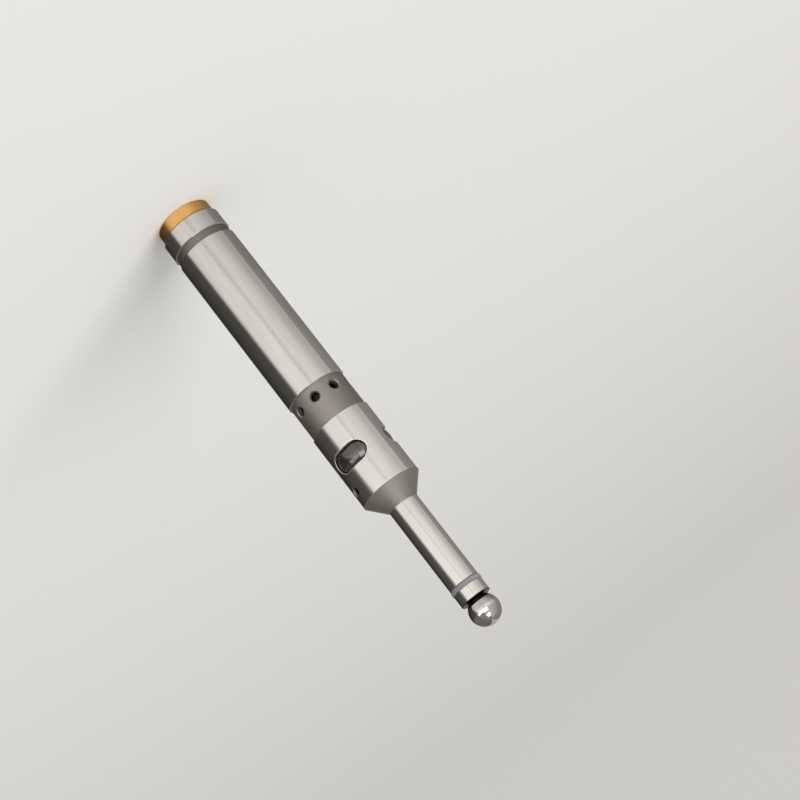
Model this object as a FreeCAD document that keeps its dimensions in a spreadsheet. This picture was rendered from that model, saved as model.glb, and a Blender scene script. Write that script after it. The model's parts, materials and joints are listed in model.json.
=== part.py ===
import FreeCAD, Part
import Sketcher
import math
import os

# Electronic edge finder for a milling machine.  The axis is Z: the flat brass battery cap
# is at Z = 0 and the contact ball is at the top.  Lengths are millimetres, angles degrees.
# Window number 1 faces -Y, and every "turn" angle is counted from -Y towards +X.

V = FreeCAD.Vector
TOUCH = 0.01  # two places closer than this are the same place
doc = FreeCAD.newDocument("edge_finder")

# ---------------------------------------------------------------- driving dimensions
SIZES = [
    # battery cap
    ("cap_dia", 18.4),
    ("cap_flange", 4.2),
    ("cap_seam", 0.2),
    ("cap_spigot", 6.0),
    ("cap_thread_depth", 7.0),
    ("cap_recess_dia", 11.2),
    ("cap_end_wall", 2.6),
    ("coin_slot_length", 12.0),
    ("coin_slot_width", 1.8),
    ("coin_slot_depth", 1.4),
    ("edge_break", 0.3),
    ("thread_gap", 0.05),
    # shank
    ("shank_dia", 20.0),
    ("ring_wall", 2.0),
    ("ring_length", 6.5),
    ("groove_width", 2.5),
    ("groove_depth", 0.5),
    ("land_length", 58.4),
    ("neck_step", 0.5),
    ("neck_length", 12.0),
    ("joint_share", 0.23),
    ("joint_step", 1.1),
    ("chamber_wall", 1.4),
    ("chamber_depth", 21.1),
    # sound holes in the neck
    ("sound_hole_dia", 3.0),
    ("sound_hole_mouth", 3.9),
    ("sound_hole_count", 8),
    ("sound_hole_setback", 3.4),
    ("sound_hole_turn", -17.3),
    # lamp housing, cone and stem
    ("housing_length", 26.0),
    ("housing_wall", 1.5),
    ("joint_relief", 0.3),
    ("cone_length", 5.8),
    ("stem_dia", 10.0),
    ("stem_length", 29.8),
    ("stem_bore", 6.4),
    ("shoulder_setback", 7.0),
    # windows and their lenses
    ("window_count", 3),
    ("window_reach", 0.595),
    ("window_width", 6.5),
    ("window_share", 0.479),
    ("window_bevel", 0.25),
    ("lens_gap", 0.1),
    ("lens_sink", 0.5),
    ("lens_sag", 0.5),
    ("lens_round", 0.35),
    ("lens_flange_margin", 0.7),
    ("lens_flange_wall", 0.7),
    ("lens_flange_gap", 0.1),
    # set screw
    ("screw_dia", 3.0),
    ("screw_sink", 0.6),
    ("screw_setback", 4.9),
    ("screw_turn", 36.6),
    ("screw_socket", 1.5),
    ("screw_socket_depth", 1.4),
    # battery, its sleeve, its spring and its front contact
    ("battery_dia", 10.3),
    ("battery_length", 28.5),
    ("battery_nub_dia", 4.0),
    ("battery_nub", 1.0),
    ("sleeve_wall", 0.45),
    ("sleeve_gap", 0.1),
    ("battery_spring_length", 9.8),
    ("battery_spring_dia", 9.2),
    ("battery_spring_wire", 0.7),
    ("battery_spring_turns", 4),
    ("spring_end_gap", 0.05),
    ("carrier_length", 2.4),
    ("contact_dia", 2.4),
    ("contact_head_dia", 5.0),
    ("contact_head", 0.6),
    # driver board and its parts
    ("board_width", 10.4),
    ("board_clearance", 1.05),
    ("board_thickness", 1.0),
    ("board_part_offset", 2.2),
    ("transistor_width", 4.4),
    ("transistor_depth", 3.4),
    ("transistor_pitch", 1.27),
    ("transistor_height", 4.6),
    ("transistor_lead_rise", 1.15),
    ("transistor_lead_root", 0.85),
    ("resistor_dia", 2.2),
    ("resistor_length", 5.6),
    ("resistor_pitch", 3.0),
    ("resistor_count", 3),
    ("capacitor_dia", 3.6),
    ("capacitor_length", 7.0),
    ("part_lead", 0.5),
    ("part_standoff", 0.3),
    ("part_spacing", 1.1),
    # buzzer
    ("buzzer_height", 8.5),
    ("buzzer_port", 2.4),
    ("buzzer_port_depth", 1.2),
    ("buzzer_pin", 0.6),
    ("buzzer_pin_length", 5.0),
    ("buzzer_pin_spread", 6.5),
    ("pin_gap", 0.1),
    ("mount_length", 2.0),
    # lead wires
    ("wire_dia", 0.9),
    ("wire_spread_low", 7.6),
    ("wire_play", 0.3),
    ("wire_bend", 1.8),
    ("wire_solder_length", 3.0),
    ("wire_notch", 1.5),
    ("wire_notch_margin", 0.1),
    # lamp board, lamp holder and lamps
    ("lamp_board_thickness", 1.0),
    ("lamp_board_gap", 0.1),
    ("holder_foot", 0.8),
    ("holder_step", 1.0),
    ("holder_end_gap", 0.1),
    ("holder_cavity", 5.2),
    ("holder_cavity_clearance", 0.75),
    ("lamp_dia", 3.0),
    ("lamp_clearance", 0.5),
    ("lamp_rim_dia", 3.8),
    ("lamp_rim", 0.9),
    ("lamp_start", 2.0),
    ("lamp_lead", 0.5),
    ("lamp_lead_pitch", 2.54),
    ("lamp_lead_bend", 1.9),
    ("lamp_hole_gap", 0.1),
    # spring anchor
    ("anchor_bush_dia", 12.0),
    ("anchor_bush_length", 6.0),
    ("anchor_rod_dia", 1.6),
    ("anchor_thread_dia", 2.5),
    ("nut_across_flats", 5.0),
    ("nut_height", 1.6),
    # stem parts
    ("liner_wall", 0.5),
    ("liner_gap", 0.05),
    ("bush_flange", 1.4),
    ("bush_flange_dia", 10.3),
    ("bush_tail", 6.0),
    ("bush_tail_dia", 7.4),
    ("bush_nose", 2.4),
    ("bush_nose_dia", 7.0),
    ("bush_bore", 4.0),
    ("collar_dia", 10.0),
    ("collar_length", 4.1),
    ("tip_edge_break", 0.2),
    # ball, its stud and the return spring
    ("ball_dia", 10.0),
    ("ball_standoff", 4.1),
    ("seat_gap", 0.1),
    ("seat_angle", 60),
    ("stud_dia", 2.0),
    ("stud_grip", 4.0),
    ("stud_tail", 8.0),
    ("tongue_length", 2.4),
    ("tongue_wall", 1.0),
    ("eye_dia", 1.3),
    ("eye_margin", 1.2),
    ("return_wire", 0.5),
    ("return_hook_dia", 2.1),
    ("return_coil_dia", 3.6),
    ("return_coil_turns", 13),
    ("return_coil_pitch", 0.68),
    ("return_leg", 18.0),
]

sheet = doc.addObject("Spreadsheet::Sheet", "Sizes")
for row, (alias, value) in enumerate(SIZES, start=1):
    sheet.set(f"A{row}", alias)
    sheet.set(f"B{row}", str(value))
    sheet.setAlias(f"B{row}", alias)

# ---------------------------------------------------------------- derived sizes and levels
DERIVED = [
    ("cap_thread", "Sizes.shank_dia - 2 * Sizes.ring_wall"),
    ("groove_dia", "Sizes.shank_dia - 2 * Sizes.groove_depth"),
    ("neck_dia", "Sizes.shank_dia - 2 * Sizes.neck_step"),
    ("joint_length", "Sizes.housing_length * Sizes.joint_share"),
    ("joint_dia", "Sizes.shank_dia - 2 * Sizes.joint_step"),
    ("chamber_dia", "Derived.joint_dia - 2 * Sizes.chamber_wall"),
    ("battery_bore", "Sizes.battery_dia + 2 * (Sizes.sleeve_gap + Sizes.sleeve_wall)"),
    ("buzzer_dia", "Derived.chamber_dia - 2 * (Sizes.wire_dia + 2 * Sizes.wire_play)"),
    ("wire_spread_high", "Derived.chamber_dia - Sizes.wire_dia - 2 * Sizes.wire_play"),
    ("window_length", "Sizes.shank_dia * Sizes.window_reach"),
    ("housing_bore", "Sizes.shank_dia - 2 * Sizes.housing_wall"),
    ("holder_dia", "Derived.housing_bore - 2 * Sizes.holder_step"),
    ("lens_outside", "Derived.housing_bore - 2 * Sizes.lens_flange_gap"),
    ("lens_inside", "Derived.lens_outside - 2 * Sizes.lens_flange_wall"),
    ("lamp_length", "Derived.lens_inside / 2 - Sizes.lamp_clearance - Sizes.lamp_start"),
    ("screw_length", "(Sizes.shank_dia - Sizes.anchor_bush_dia) / 2 - Sizes.screw_sink"),
    ("shank_start", "Sizes.cap_flange + Sizes.cap_seam"),
    ("groove_start", "Derived.shank_start + Sizes.ring_length"),
    ("land_start", "Derived.groove_start + Sizes.groove_width"),
    ("neck_start", "Derived.land_start + Sizes.land_length"),
    ("housing_start", "Derived.neck_start + Sizes.neck_length"),
    ("joint_end", "Derived.housing_start + Derived.joint_length"),
    ("cone_start", "Derived.housing_start + Sizes.housing_length"),
    ("stem_start", "Derived.cone_start + Sizes.cone_length"),
    ("stem_end", "Derived.stem_start + Sizes.stem_length"),
    ("collar_start", "Derived.stem_end + Sizes.bush_flange"),
    ("collar_end", "Derived.collar_start + Sizes.collar_length"),
    ("ball_level", "Derived.collar_end + Sizes.ball_standoff"),
    ("cap_thread_end", "Derived.shank_start + Sizes.cap_thread_depth"),
    ("chamber_start", "Derived.joint_end - Sizes.chamber_depth"),
    ("sound_hole_root", "Derived.chamber_dia / 4"),
    ("sound_level", "Derived.neck_start + Sizes.sound_hole_setback"),
    ("window_level", "Derived.housing_start + Sizes.housing_length * Sizes.window_share"),
    ("shoulder_level", "Derived.cone_start - Sizes.shoulder_setback"),
    ("anchor_bush_end", "Derived.shoulder_level + Sizes.anchor_bush_length"),
    ("screw_hole_root", "Sizes.stem_bore / 4"),
    ("screw_level", "Derived.cone_start - Sizes.screw_setback"),
    ("bush_tail_start", "Derived.stem_end - Sizes.bush_tail"),
    ("battery_start", "Sizes.cap_end_wall + Sizes.spring_end_gap + Sizes.battery_spring_length"),
    ("battery_end", "Derived.battery_start + Sizes.battery_length"),
    ("carrier_start", "Derived.battery_end + Sizes.contact_head"),
    ("carrier_end", "Derived.carrier_start + Sizes.carrier_length"),
    ("board_end", "Derived.chamber_start - Sizes.board_clearance"),
    ("first_row", "Derived.carrier_end + Sizes.part_spacing"),
    ("second_row", "Derived.first_row + Sizes.resistor_length + Sizes.part_spacing"),
    ("buzzer_start", "Derived.chamber_start + Sizes.mount_length"),
    ("holder_start", "Derived.joint_end + Sizes.lamp_board_thickness"),
    ("holder_end", "Derived.shoulder_level - Sizes.holder_end_gap"),
    ("seat_reach", "Sizes.ball_dia / 2 + Sizes.seat_gap"),
    ("seat_apex", "Derived.ball_level - Derived.seat_reach / sin(Sizes.seat_angle)"),
    ("stud_top", "Derived.ball_level - Sizes.ball_dia / 2 + Sizes.stud_grip"),
    ("stud_end", "Derived.ball_level - Sizes.ball_dia / 2 - Sizes.stud_tail"),
    ("stud_eye", "Derived.stud_end + Sizes.eye_margin"),
    ("coil_top", "Derived.stud_eye - Sizes.return_hook_dia - Sizes.return_wire"),
    ("coil_start", "Derived.coil_top - Sizes.return_coil_turns * Sizes.return_coil_pitch"),
    ("hook_level", "Derived.coil_start - Sizes.return_leg"),
    ("anchor_eye", "Derived.hook_level - Sizes.return_hook_dia"),
    ("anchor_top", "Derived.anchor_eye + Sizes.eye_margin"),
]

derived = doc.addObject("Spreadsheet::Sheet", "Derived")
for row, (alias, formula) in enumerate(DERIVED, start=1):
    derived.set(f"A{row}", alias)
    derived.set(f"B{row}", "=" + formula.replace("Derived.", ""))
    derived.setAlias(f"B{row}", alias)
doc.recompute()


def value_of(formula):
    """The number that a formula on the two sheets gives now."""
    result = sheet.evalExpression(formula)
    return float(getattr(result, "Value", result))


# ---------------------------------------------------------------- small helpers
def origin_item(body, role):
    """The body's own base plane or axis, found by its role."""
    for item in body.Origin.OriginFeatures:
        if item.Role == role:
            return item
    raise ValueError(role)


def new_body(label):
    body = doc.addObject("PartDesign::Body", label)
    body.Label = label
    return body


def new_sketch(body, name, role="XZ_Plane", turn=None):
    """A sketch on one of the body's planes; turn swings an upright plane about Z."""
    sketch = body.newObject("Sketcher::SketchObject", name)
    sketch.AttachmentSupport = [(origin_item(body, role), "")]
    sketch.MapMode = "FlatFace"
    if turn is not None:
        sketch.AttachmentOffset = FreeCAD.Placement(V(0, 0, 0), FreeCAD.Rotation(V(0, 1, 0), 1))
        sketch.setExpression("AttachmentOffset.Rotation.Angle", turn)
    return sketch


def dimension(sketch, kind, *where, formula):
    """Add one driving dimension and tie it to the sheets."""
    index = sketch.addConstraint(Sketcher.Constraint(kind, *where, value_of(formula)))
    sketch.setExpression(f"Constraints[{index}]", formula)


def locate(sketch, edge, end, across, up):
    """Tie one point of an edge to two formulas measured from the origin."""
    if across == "0":
        sketch.addConstraint(Sketcher.Constraint("PointOnObject", edge, end, -2))
    else:
        dimension(sketch, "DistanceX", -1, 1, edge, end, formula=across)
    if up == "0":
        sketch.addConstraint(Sketcher.Constraint("PointOnObject", edge, end, -1))
    else:
        dimension(sketch, "DistanceY", -1, 1, edge, end, formula=up)


def outline(sketch, corners):
    """A closed outline of straight edges through (across, up) formula pairs."""
    points = [V(value_of(across), value_of(up), 0) for across, up in corners]
    edges = [sketch.addGeometry(Part.LineSegment(first, second), False)
             for first, second in zip(points, points[1:] + points[:1])]
    for edge, after in zip(edges, edges[1:] + edges[:1]):
        sketch.addConstraint(Sketcher.Constraint("Coincident", edge, 2, after, 1))
    for edge, (across, up) in zip(edges, corners):
        locate(sketch, edge, 1, across, up)


def cross_axis(sketch, level):
    """A level construction line out from Z, to turn a radial feature about."""
    reach = "Sizes.shank_dia / 2"
    start = V(0, value_of(level), 0)
    end = V(value_of(reach), value_of(level), 0)
    axis = sketch.addGeometry(Part.LineSegment(start, end), True)
    locate(sketch, axis, 1, "0", level)
    locate(sketch, axis, 2, reach, level)


def circle(sketch, across, up, diameter):
    centre = V(value_of(across), value_of(up), 0)
    index = sketch.addGeometry(Part.Circle(centre, V(0, 0, 1), value_of(diameter) / 2), False)
    locate(sketch, index, 3, across, up)
    dimension(sketch, "Diameter", index, formula=diameter)


def obround(sketch, up, length, width):
    """A slot outline centred on the sketch's upright axis, long way across."""
    level = value_of(up)
    radius = value_of(width) / 2
    reach = value_of(length) / 2 - radius
    right = Part.Circle(V(reach, level, 0), V(0, 0, 1), radius)
    left = Part.Circle(V(-reach, level, 0), V(0, 0, 1), radius)
    quarter = math.pi / 2
    sketch.addGeometry(Part.ArcOfCircle(right, -quarter, quarter), False)
    sketch.addGeometry(Part.ArcOfCircle(left, quarter, 3 * quarter), False)
    sketch.addGeometry(Part.LineSegment(V(reach, level + radius, 0), V(-reach, level + radius, 0)))
    sketch.addGeometry(Part.LineSegment(V(-reach, level - radius, 0), V(reach, level - radius, 0)))
    for constraint in (("Tangent", 0, 2, 2, 1), ("Tangent", 2, 2, 1, 1),
                       ("Tangent", 1, 2, 3, 1), ("Tangent", 3, 2, 0, 1)):
        sketch.addConstraint(Sketcher.Constraint(*constraint))
    locate(sketch, 0, 3, f"(({length}) - ({width})) / 2", up)
    locate(sketch, 1, 3, f"(({width}) - ({length})) / 2", up)
    dimension(sketch, "Radius", 0, formula=f"({width}) / 2")


def feature(body, kind, name, sketch, **settings):
    """A sketch-based feature, made the body's tip."""
    item = body.newObject("PartDesign::" + kind, name)
    item.Profile = sketch
    for key, value in settings.items():
        setattr(item, key, value)
    sketch.Visibility = False
    body.Tip = item
    doc.recompute()
    return item


def revolve(body, name, corners):
    """A full turn of an outline of (radius, level) pairs about Z."""
    sketch = new_sketch(body, name + "_outline")
    outline(sketch, corners)
    return feature(body, "Revolution", name, sketch, ReferenceAxis=(sketch, ["V_Axis"]), Angle=360)


def turned(label, corners):
    """A plain turned piece."""
    body = new_body(label)
    revolve(body, label + "_turning", corners)
    return body


def polar(body, name, originals, count):
    """Repeat features evenly about Z."""
    pattern = body.newObject("PartDesign::PolarPattern", name)
    pattern.Originals = originals
    pattern.Axis = (origin_item(body, "Z_Axis"), [""])
    pattern.Angle = 360
    pattern.setExpression("Occurrences", count)
    body.Tip = pattern
    doc.recompute()
    return pattern


def primitive(kind, name, **sizes):
    """A Part primitive with its sizes and base point tied to the sheets."""
    item = doc.addObject("Part::" + kind, name)
    for key, formula in sizes.items():
        if key in ("x", "y", "z"):
            item.setExpression("Placement.Base." + key, formula)
        else:
            item.setExpression(key, formula)
    return item


def joined(label, pieces):
    item = doc.addObject("Part::MultiFuse", label)
    item.Label = label
    item.Shapes = pieces
    return item


def spin_about_z(item, angle):
    item.Placement = FreeCAD.Placement(V(0, 0, 0), FreeCAD.Rotation(V(0, 0, 1), 1))
    item.setExpression("Placement.Rotation.Angle", angle)


# ---------------------------------------------------------------- battery cap
def make_battery_cap():
    """Brass cap: plain flange with a coin slot, threaded spigot, recess for the spring."""
    spigot = "Derived.cap_thread / 2 - Sizes.thread_gap"
    spigot_end = "Sizes.cap_flange + Sizes.cap_spigot"
    body = turned("battery_cap", [
        ("0", "0"),
        ("Sizes.cap_dia / 2 - Sizes.edge_break", "0"),
        ("Sizes.cap_dia / 2", "Sizes.edge_break"),
        ("Sizes.cap_dia / 2", "Sizes.cap_flange - Sizes.edge_break"),
        ("Sizes.cap_dia / 2 - Sizes.edge_break", "Sizes.cap_flange"),
        (spigot, "Sizes.cap_flange"),
        (spigot, spigot_end + " - Sizes.edge_break"),
        (spigot + " - Sizes.edge_break", spigot_end),
        ("Sizes.cap_recess_dia / 2", spigot_end),
        ("Sizes.cap_recess_dia / 2", "Sizes.cap_end_wall"),
        ("0", "Sizes.cap_end_wall"),
    ])
    sketch = new_sketch(body, "coin_slot_outline", "XY_Plane")
    obround(sketch, "0", "Sizes.coin_slot_length", "Sizes.coin_slot_width")
    slot = feature(body, "Pocket", "coin_slot", sketch, Type="Length", Reversed=True)
    slot.setExpression("Length", "Sizes.coin_slot_depth")
    return body


# ---------------------------------------------------------------- shank
def radial_hole(body, name, level, inner, outer, diameter, mouth, turn):
    """A radial hole with a bevelled mouth, cut as a turned plug about its own axis."""
    sketch = new_sketch(body, name + "_outline", "XZ_Plane", turn)
    sink = f"({mouth} - {diameter}) / 2"
    outline(sketch, [
        (inner, level),
        (inner, f"{level} + {diameter} / 2"),
        (f"{outer} - {sink}", f"{level} + {diameter} / 2"),
        (f"{outer} + {sink}", f"{level} + {mouth} / 2 + {sink}"),
        (f"{outer} + {sink}", level),
    ])
    cross_axis(sketch, level)
    return feature(body, "Groove", name, sketch, ReferenceAxis=(sketch, ["Axis0"]), Angle=360)


def make_shank_body():
    """Ground shank: end ring, groove, clamping land, neck with sound holes, joint spigot."""
    ring = "Sizes.shank_dia / 2"
    ring_edge = "Sizes.shank_dia / 2 - Sizes.edge_break"
    body = turned("shank_body", [
        ("Derived.cap_thread / 2", "Derived.shank_start"),
        (ring_edge, "Derived.shank_start"),
        (ring, "Derived.shank_start + Sizes.edge_break"),
        (ring, "Derived.groove_start - Sizes.edge_break"),
        (ring_edge, "Derived.groove_start"),
        ("Derived.groove_dia / 2", "Derived.groove_start"),
        ("Derived.groove_dia / 2", "Derived.land_start"),
        (ring_edge, "Derived.land_start"),
        (ring, "Derived.land_start + Sizes.edge_break"),
        (ring, "Derived.neck_start - Sizes.edge_break"),
        (ring_edge, "Derived.neck_start"),
        ("Derived.neck_dia / 2", "Derived.neck_start"),
        ("Derived.neck_dia / 2", "Derived.housing_start"),
        ("Derived.joint_dia / 2", "Derived.housing_start"),
        ("Derived.joint_dia / 2", "Derived.joint_end"),
        ("Derived.chamber_dia / 2", "Derived.joint_end"),
        ("Derived.chamber_dia / 2", "Derived.chamber_start"),
        ("Derived.battery_bore / 2", "Derived.chamber_start"),
        ("Derived.battery_bore / 2", "Derived.cap_thread_end"),
        ("Derived.cap_thread / 2", "Derived.cap_thread_end"),
    ])
    hole = radial_hole(body, "sound_hole", "Derived.sound_level", "Derived.sound_hole_root",
                       "Derived.neck_dia / 2", "Sizes.sound_hole_dia", "Sizes.sound_hole_mouth",
                       "Sizes.sound_hole_turn - 90")
    polar(body, "sound_holes", [hole], "Sizes.sound_hole_count")
    return body


# ---------------------------------------------------------------- lamp housing with stem
def make_front_body():
    """Lamp housing, cone and stem turned from one bar, with three milled windows."""
    housing = "Sizes.shank_dia / 2"
    stem = "Sizes.stem_dia / 2"
    tip_edge = "Sizes.stem_dia / 2 - Sizes.tip_edge_break"
    joint_bore = "Derived.joint_dia / 2 + Sizes.thread_gap"
    body = turned("front_body", [
        (joint_bore, "Derived.housing_start"),
        (housing + " - Sizes.edge_break", "Derived.housing_start"),
        (housing, "Derived.housing_start + Sizes.edge_break"),
        (housing, "Derived.cone_start - Sizes.edge_break"),
        (housing + " - Sizes.edge_break", "Derived.cone_start"),
        (tip_edge, "Derived.stem_start"),
        (stem, "Derived.stem_start + Sizes.tip_edge_break"),
        (stem, "Derived.stem_end - Sizes.tip_edge_break"),
        (tip_edge, "Derived.stem_end"),
        ("Sizes.bush_tail_dia / 2", "Derived.stem_end"),
        ("Sizes.bush_tail_dia / 2", "Derived.bush_tail_start"),
        ("Sizes.stem_bore / 2", "Derived.bush_tail_start"),
        ("Sizes.stem_bore / 2", "Derived.anchor_bush_end"),
        ("Sizes.anchor_bush_dia / 2", "Derived.anchor_bush_end"),
        ("Sizes.anchor_bush_dia / 2", "Derived.shoulder_level"),
        ("Derived.housing_bore / 2", "Derived.shoulder_level"),
        ("Derived.housing_bore / 2", "Derived.joint_end + Sizes.joint_relief"),
        (joint_bore, "Derived.joint_end + Sizes.joint_relief"),
    ])
    sketch = new_sketch(body, "window_outline")
    obround(sketch, "Derived.window_level", "Derived.window_length", "Sizes.window_width")
    window = feature(body, "Pocket", "window", sketch, Type="ThroughAll", Reversed=True)
    polar(body, "windows", [window], "Sizes.window_count")
    bevel_windows(body)
    radial_hole(body, "screw_hole", "Derived.screw_level", "Derived.screw_hole_root", housing,
                "Sizes.screw_dia", "Sizes.screw_dia + Sizes.edge_break", "Sizes.screw_turn - 90")
    return body


def bevel_windows(body):
    """Break the outer edge of every window."""
    cut = body.Tip
    outside = value_of("Sizes.shank_dia / 2")
    low = value_of("Derived.window_level - Sizes.window_width / 2") - TOUCH
    high = value_of("Derived.window_level + Sizes.window_width / 2") + TOUCH
    names = []
    for number, edge in enumerate(cut.Shape.Edges, start=1):
        middle = edge.valueAt((edge.FirstParameter + edge.LastParameter) / 2)
        on_outside = abs(math.hypot(middle.x, middle.y) - outside) < TOUCH
        box = edge.BoundBox
        if on_outside and box.ZMin > low and box.ZMax < high:
            names.append(f"Edge{number}")
    bevel = body.newObject("PartDesign::Chamfer", "window_bevels")
    bevel.Base = (cut, names)
    bevel.setExpression("Size", "Sizes.window_bevel")
    body.Tip = bevel
    doc.recompute()


def make_window_lens(number):
    """Smoked lens: an inner flange and a crowned pad that fills the window."""
    label = f"window_lens_{number + 1}"
    body = new_body(label)
    crown = "Sizes.shank_dia / 2 - Sizes.lens_sink"
    pad_width = "Sizes.window_width - 2 * Sizes.lens_gap"
    pad_length = "Derived.window_length - 2 * Sizes.lens_gap"
    margin = " + 2 * Sizes.lens_flange_margin"

    flange = new_sketch(body, label + "_flange_outline")
    obround(flange, "Derived.window_level", pad_length + margin, pad_width + margin)
    block = feature(body, "Pad", label + "_flange", flange, Type="Length")
    block.setExpression("Length", "Sizes.shank_dia / 2")
    trim_outside(body, label + "_flange_turning", "Derived.lens_outside / 2", "0")

    pad = new_sketch(body, label + "_pad_outline")
    obround(pad, "Derived.window_level", pad_length, pad_width)
    block = feature(body, "Pad", label + "_pad", pad, Type="Length")
    block.setExpression("Length", "Sizes.shank_dia / 2")
    trim_outside(body, label + "_crown", crown, "Sizes.lens_sag")
    round_lens(body, label)

    bore_sketch = new_sketch(body, label + "_bore_outline", "XY_Plane")
    circle(bore_sketch, "0", "0", "Derived.lens_inside")
    feature(body, "Pocket", label + "_bore", bore_sketch, Type="ThroughAll", Midplane=True)
    spin_about_z(body, f"{number} * 360 / Sizes.window_count")
    return body


def round_lens(body, label):
    """Round the outer edge of the pad all the way round."""
    blank = body.Tip
    lowest = value_of("Sizes.shank_dia / 2 - Sizes.lens_sink - 2 * Sizes.lens_sag")
    names = []
    for number, edge in enumerate(blank.Shape.Edges, start=1):
        middle = edge.valueAt((edge.FirstParameter + edge.LastParameter) / 2)
        ends = [math.hypot(vertex.X, vertex.Y) for vertex in edge.Vertexes]
        if min(ends + [math.hypot(middle.x, middle.y)]) > lowest:
            names.append(f"Edge{number}")
    fillet = body.newObject("PartDesign::Fillet", label + "_round")
    fillet.Base = (blank, names)
    fillet.setExpression("Radius", "Sizes.lens_round")
    body.Tip = fillet
    doc.recompute()


def trim_outside(body, name, radius, sag):
    """Turn a lens blank down to a radius, falling away by sag at its two long edges."""
    half = "Sizes.window_width / 2"
    reach = "Sizes.window_width / 2 + 2 * Sizes.lens_flange_margin"
    level = "Derived.window_level"
    edge = f"{radius} - {sag}"
    outer = "Sizes.shank_dia"
    sketch = new_sketch(body, name + "_outline")
    if sag == "0":
        outline(sketch, [(radius, f"{level} - ({reach})"), (outer, f"{level} - ({reach})"),
                         (outer, f"{level} + {reach}"), (radius, f"{level} + {reach}")])
    else:
        crowned_outline(sketch, radius, edge, outer, level, half)
    feature(body, "Groove", name, sketch, ReferenceAxis=(sketch, ["V_Axis"]), Angle=360)


def crowned_outline(sketch, crown, edge, outer, level, half):
    """An outline whose inner side is an arc from edge to crown and back to edge."""
    low = V(value_of(edge), value_of(f"{level} - {half}"), 0)
    middle = V(value_of(crown), value_of(level), 0)
    high = V(value_of(edge), value_of(f"{level} + {half}"), 0)
    far_low = V(value_of(outer), low.y, 0)
    far_high = V(value_of(outer), high.y, 0)
    sketch.addGeometry(Part.Arc(low, middle, high), False)
    sketch.addGeometry(Part.LineSegment(high, far_high), False)
    sketch.addGeometry(Part.LineSegment(far_high, far_low), False)
    sketch.addGeometry(Part.LineSegment(far_low, low), False)
    for first, end, second, start in ((0, 2, 1, 1), (1, 2, 2, 1), (2, 2, 3, 1), (3, 2, 0, 1)):
        sketch.addConstraint(Sketcher.Constraint("Coincident", first, end, second, start))
    locate(sketch, 1, 1, edge, f"{level} + {half}")
    locate(sketch, 2, 1, outer, f"{level} + {half}")
    locate(sketch, 3, 1, outer, f"{level} - {half}")
    locate(sketch, 3, 2, edge, f"{level} - {half}")
    sag = f"({crown} - ({edge}))"
    dimension(sketch, "Radius", 0, formula=f"(({half})^2 + {sag}^2) / (2 * {sag})")


def make_set_screw():
    """Grub screw with a hexagon socket, bearing on the anchor bush."""
    body = new_body("set_screw")
    level = "Derived.screw_level"
    foot = "-Sizes.anchor_bush_dia / 2"
    head = "-Sizes.anchor_bush_dia / 2 - Derived.screw_length"
    radius = f"{level} + Sizes.screw_dia / 2 - Sizes.thread_gap"
    sketch = new_sketch(body, "set_screw_outline", "YZ_Plane")
    cross_axis(sketch, level)
    outline(sketch, [
        (foot, level),
        (foot, radius + " - Sizes.edge_break"),
        (foot + " - Sizes.edge_break", radius),
        (head + " + Sizes.edge_break", radius),
        (head, radius + " - Sizes.edge_break"),
        (head, level),
    ])
    feature(body, "Revolution", "set_screw_turning", sketch, ReferenceAxis=(sketch, ["Axis0"]),
            Angle=360)
    socket = new_sketch(body, "set_screw_socket_outline")
    hexagon(socket, "Sizes.screw_socket", level)
    socket.AttachmentOffset = FreeCAD.Placement(V(0, 0, 1), FreeCAD.Rotation())
    socket.setExpression("AttachmentOffset.Base.z", f"-({head})")
    pocket = feature(body, "Pocket", "set_screw_socket", socket, Type="Length")
    pocket.setExpression("Length", "Sizes.screw_socket_depth")
    spin_about_z(body, "Sizes.screw_turn")
    return body


def hexagon(sketch, across_flats, level="0"):
    """A regular hexagon on the upright axis at a level, with corners to left and right."""
    reach = f"({across_flats}) / sqrt(3)"
    half_reach = f"{reach} / 2"
    half_flats = f"({across_flats}) / 2"
    outline(sketch, [
        (reach, level),
        (half_reach, f"{level} + {half_flats}"),
        (f"-{half_reach}", f"{level} + {half_flats}"),
        (f"-{reach}", level),
        (f"-{half_reach}", f"{level} - {half_flats}"),
        (half_reach, f"{level} - {half_flats}"),
    ])


# ---------------------------------------------------------------- battery group
def make_battery():
    """Twelve volt cell with its raised end towards the electronics."""
    shoulder = "Derived.battery_end - Sizes.battery_nub"
    radius = "Sizes.battery_dia / 2"
    return turned("battery", [
        ("0", "Derived.battery_start"),
        (radius + " - Sizes.edge_break", "Derived.battery_start"),
        (radius, "Derived.battery_start + Sizes.edge_break"),
        (radius, shoulder + " - Sizes.edge_break"),
        (radius + " - Sizes.edge_break", shoulder),
        ("Sizes.battery_nub_dia / 2", shoulder),
        ("Sizes.battery_nub_dia / 2", "Derived.battery_end"),
        ("0", "Derived.battery_end"),
    ])


def make_battery_sleeve():
    """Insulating sleeve that lines the battery bore."""
    outside = "Derived.battery_bore / 2"
    inside = "Derived.battery_bore / 2 - Sizes.sleeve_wall"
    return turned("battery_sleeve", [
        (inside, "Derived.cap_thread_end"),
        (outside, "Derived.cap_thread_end"),
        (outside, "Derived.carrier_start"),
        (inside, "Derived.carrier_start"),
    ])


def make_contact_carrier():
    """Insulating disc that holds the front battery contact."""
    return turned("contact_carrier", [
        ("Sizes.contact_dia / 2", "Derived.carrier_start"),
        ("Derived.battery_bore / 2", "Derived.carrier_start"),
        ("Derived.battery_bore / 2", "Derived.carrier_end"),
        ("Sizes.contact_dia / 2", "Derived.carrier_end"),
    ])


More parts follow.
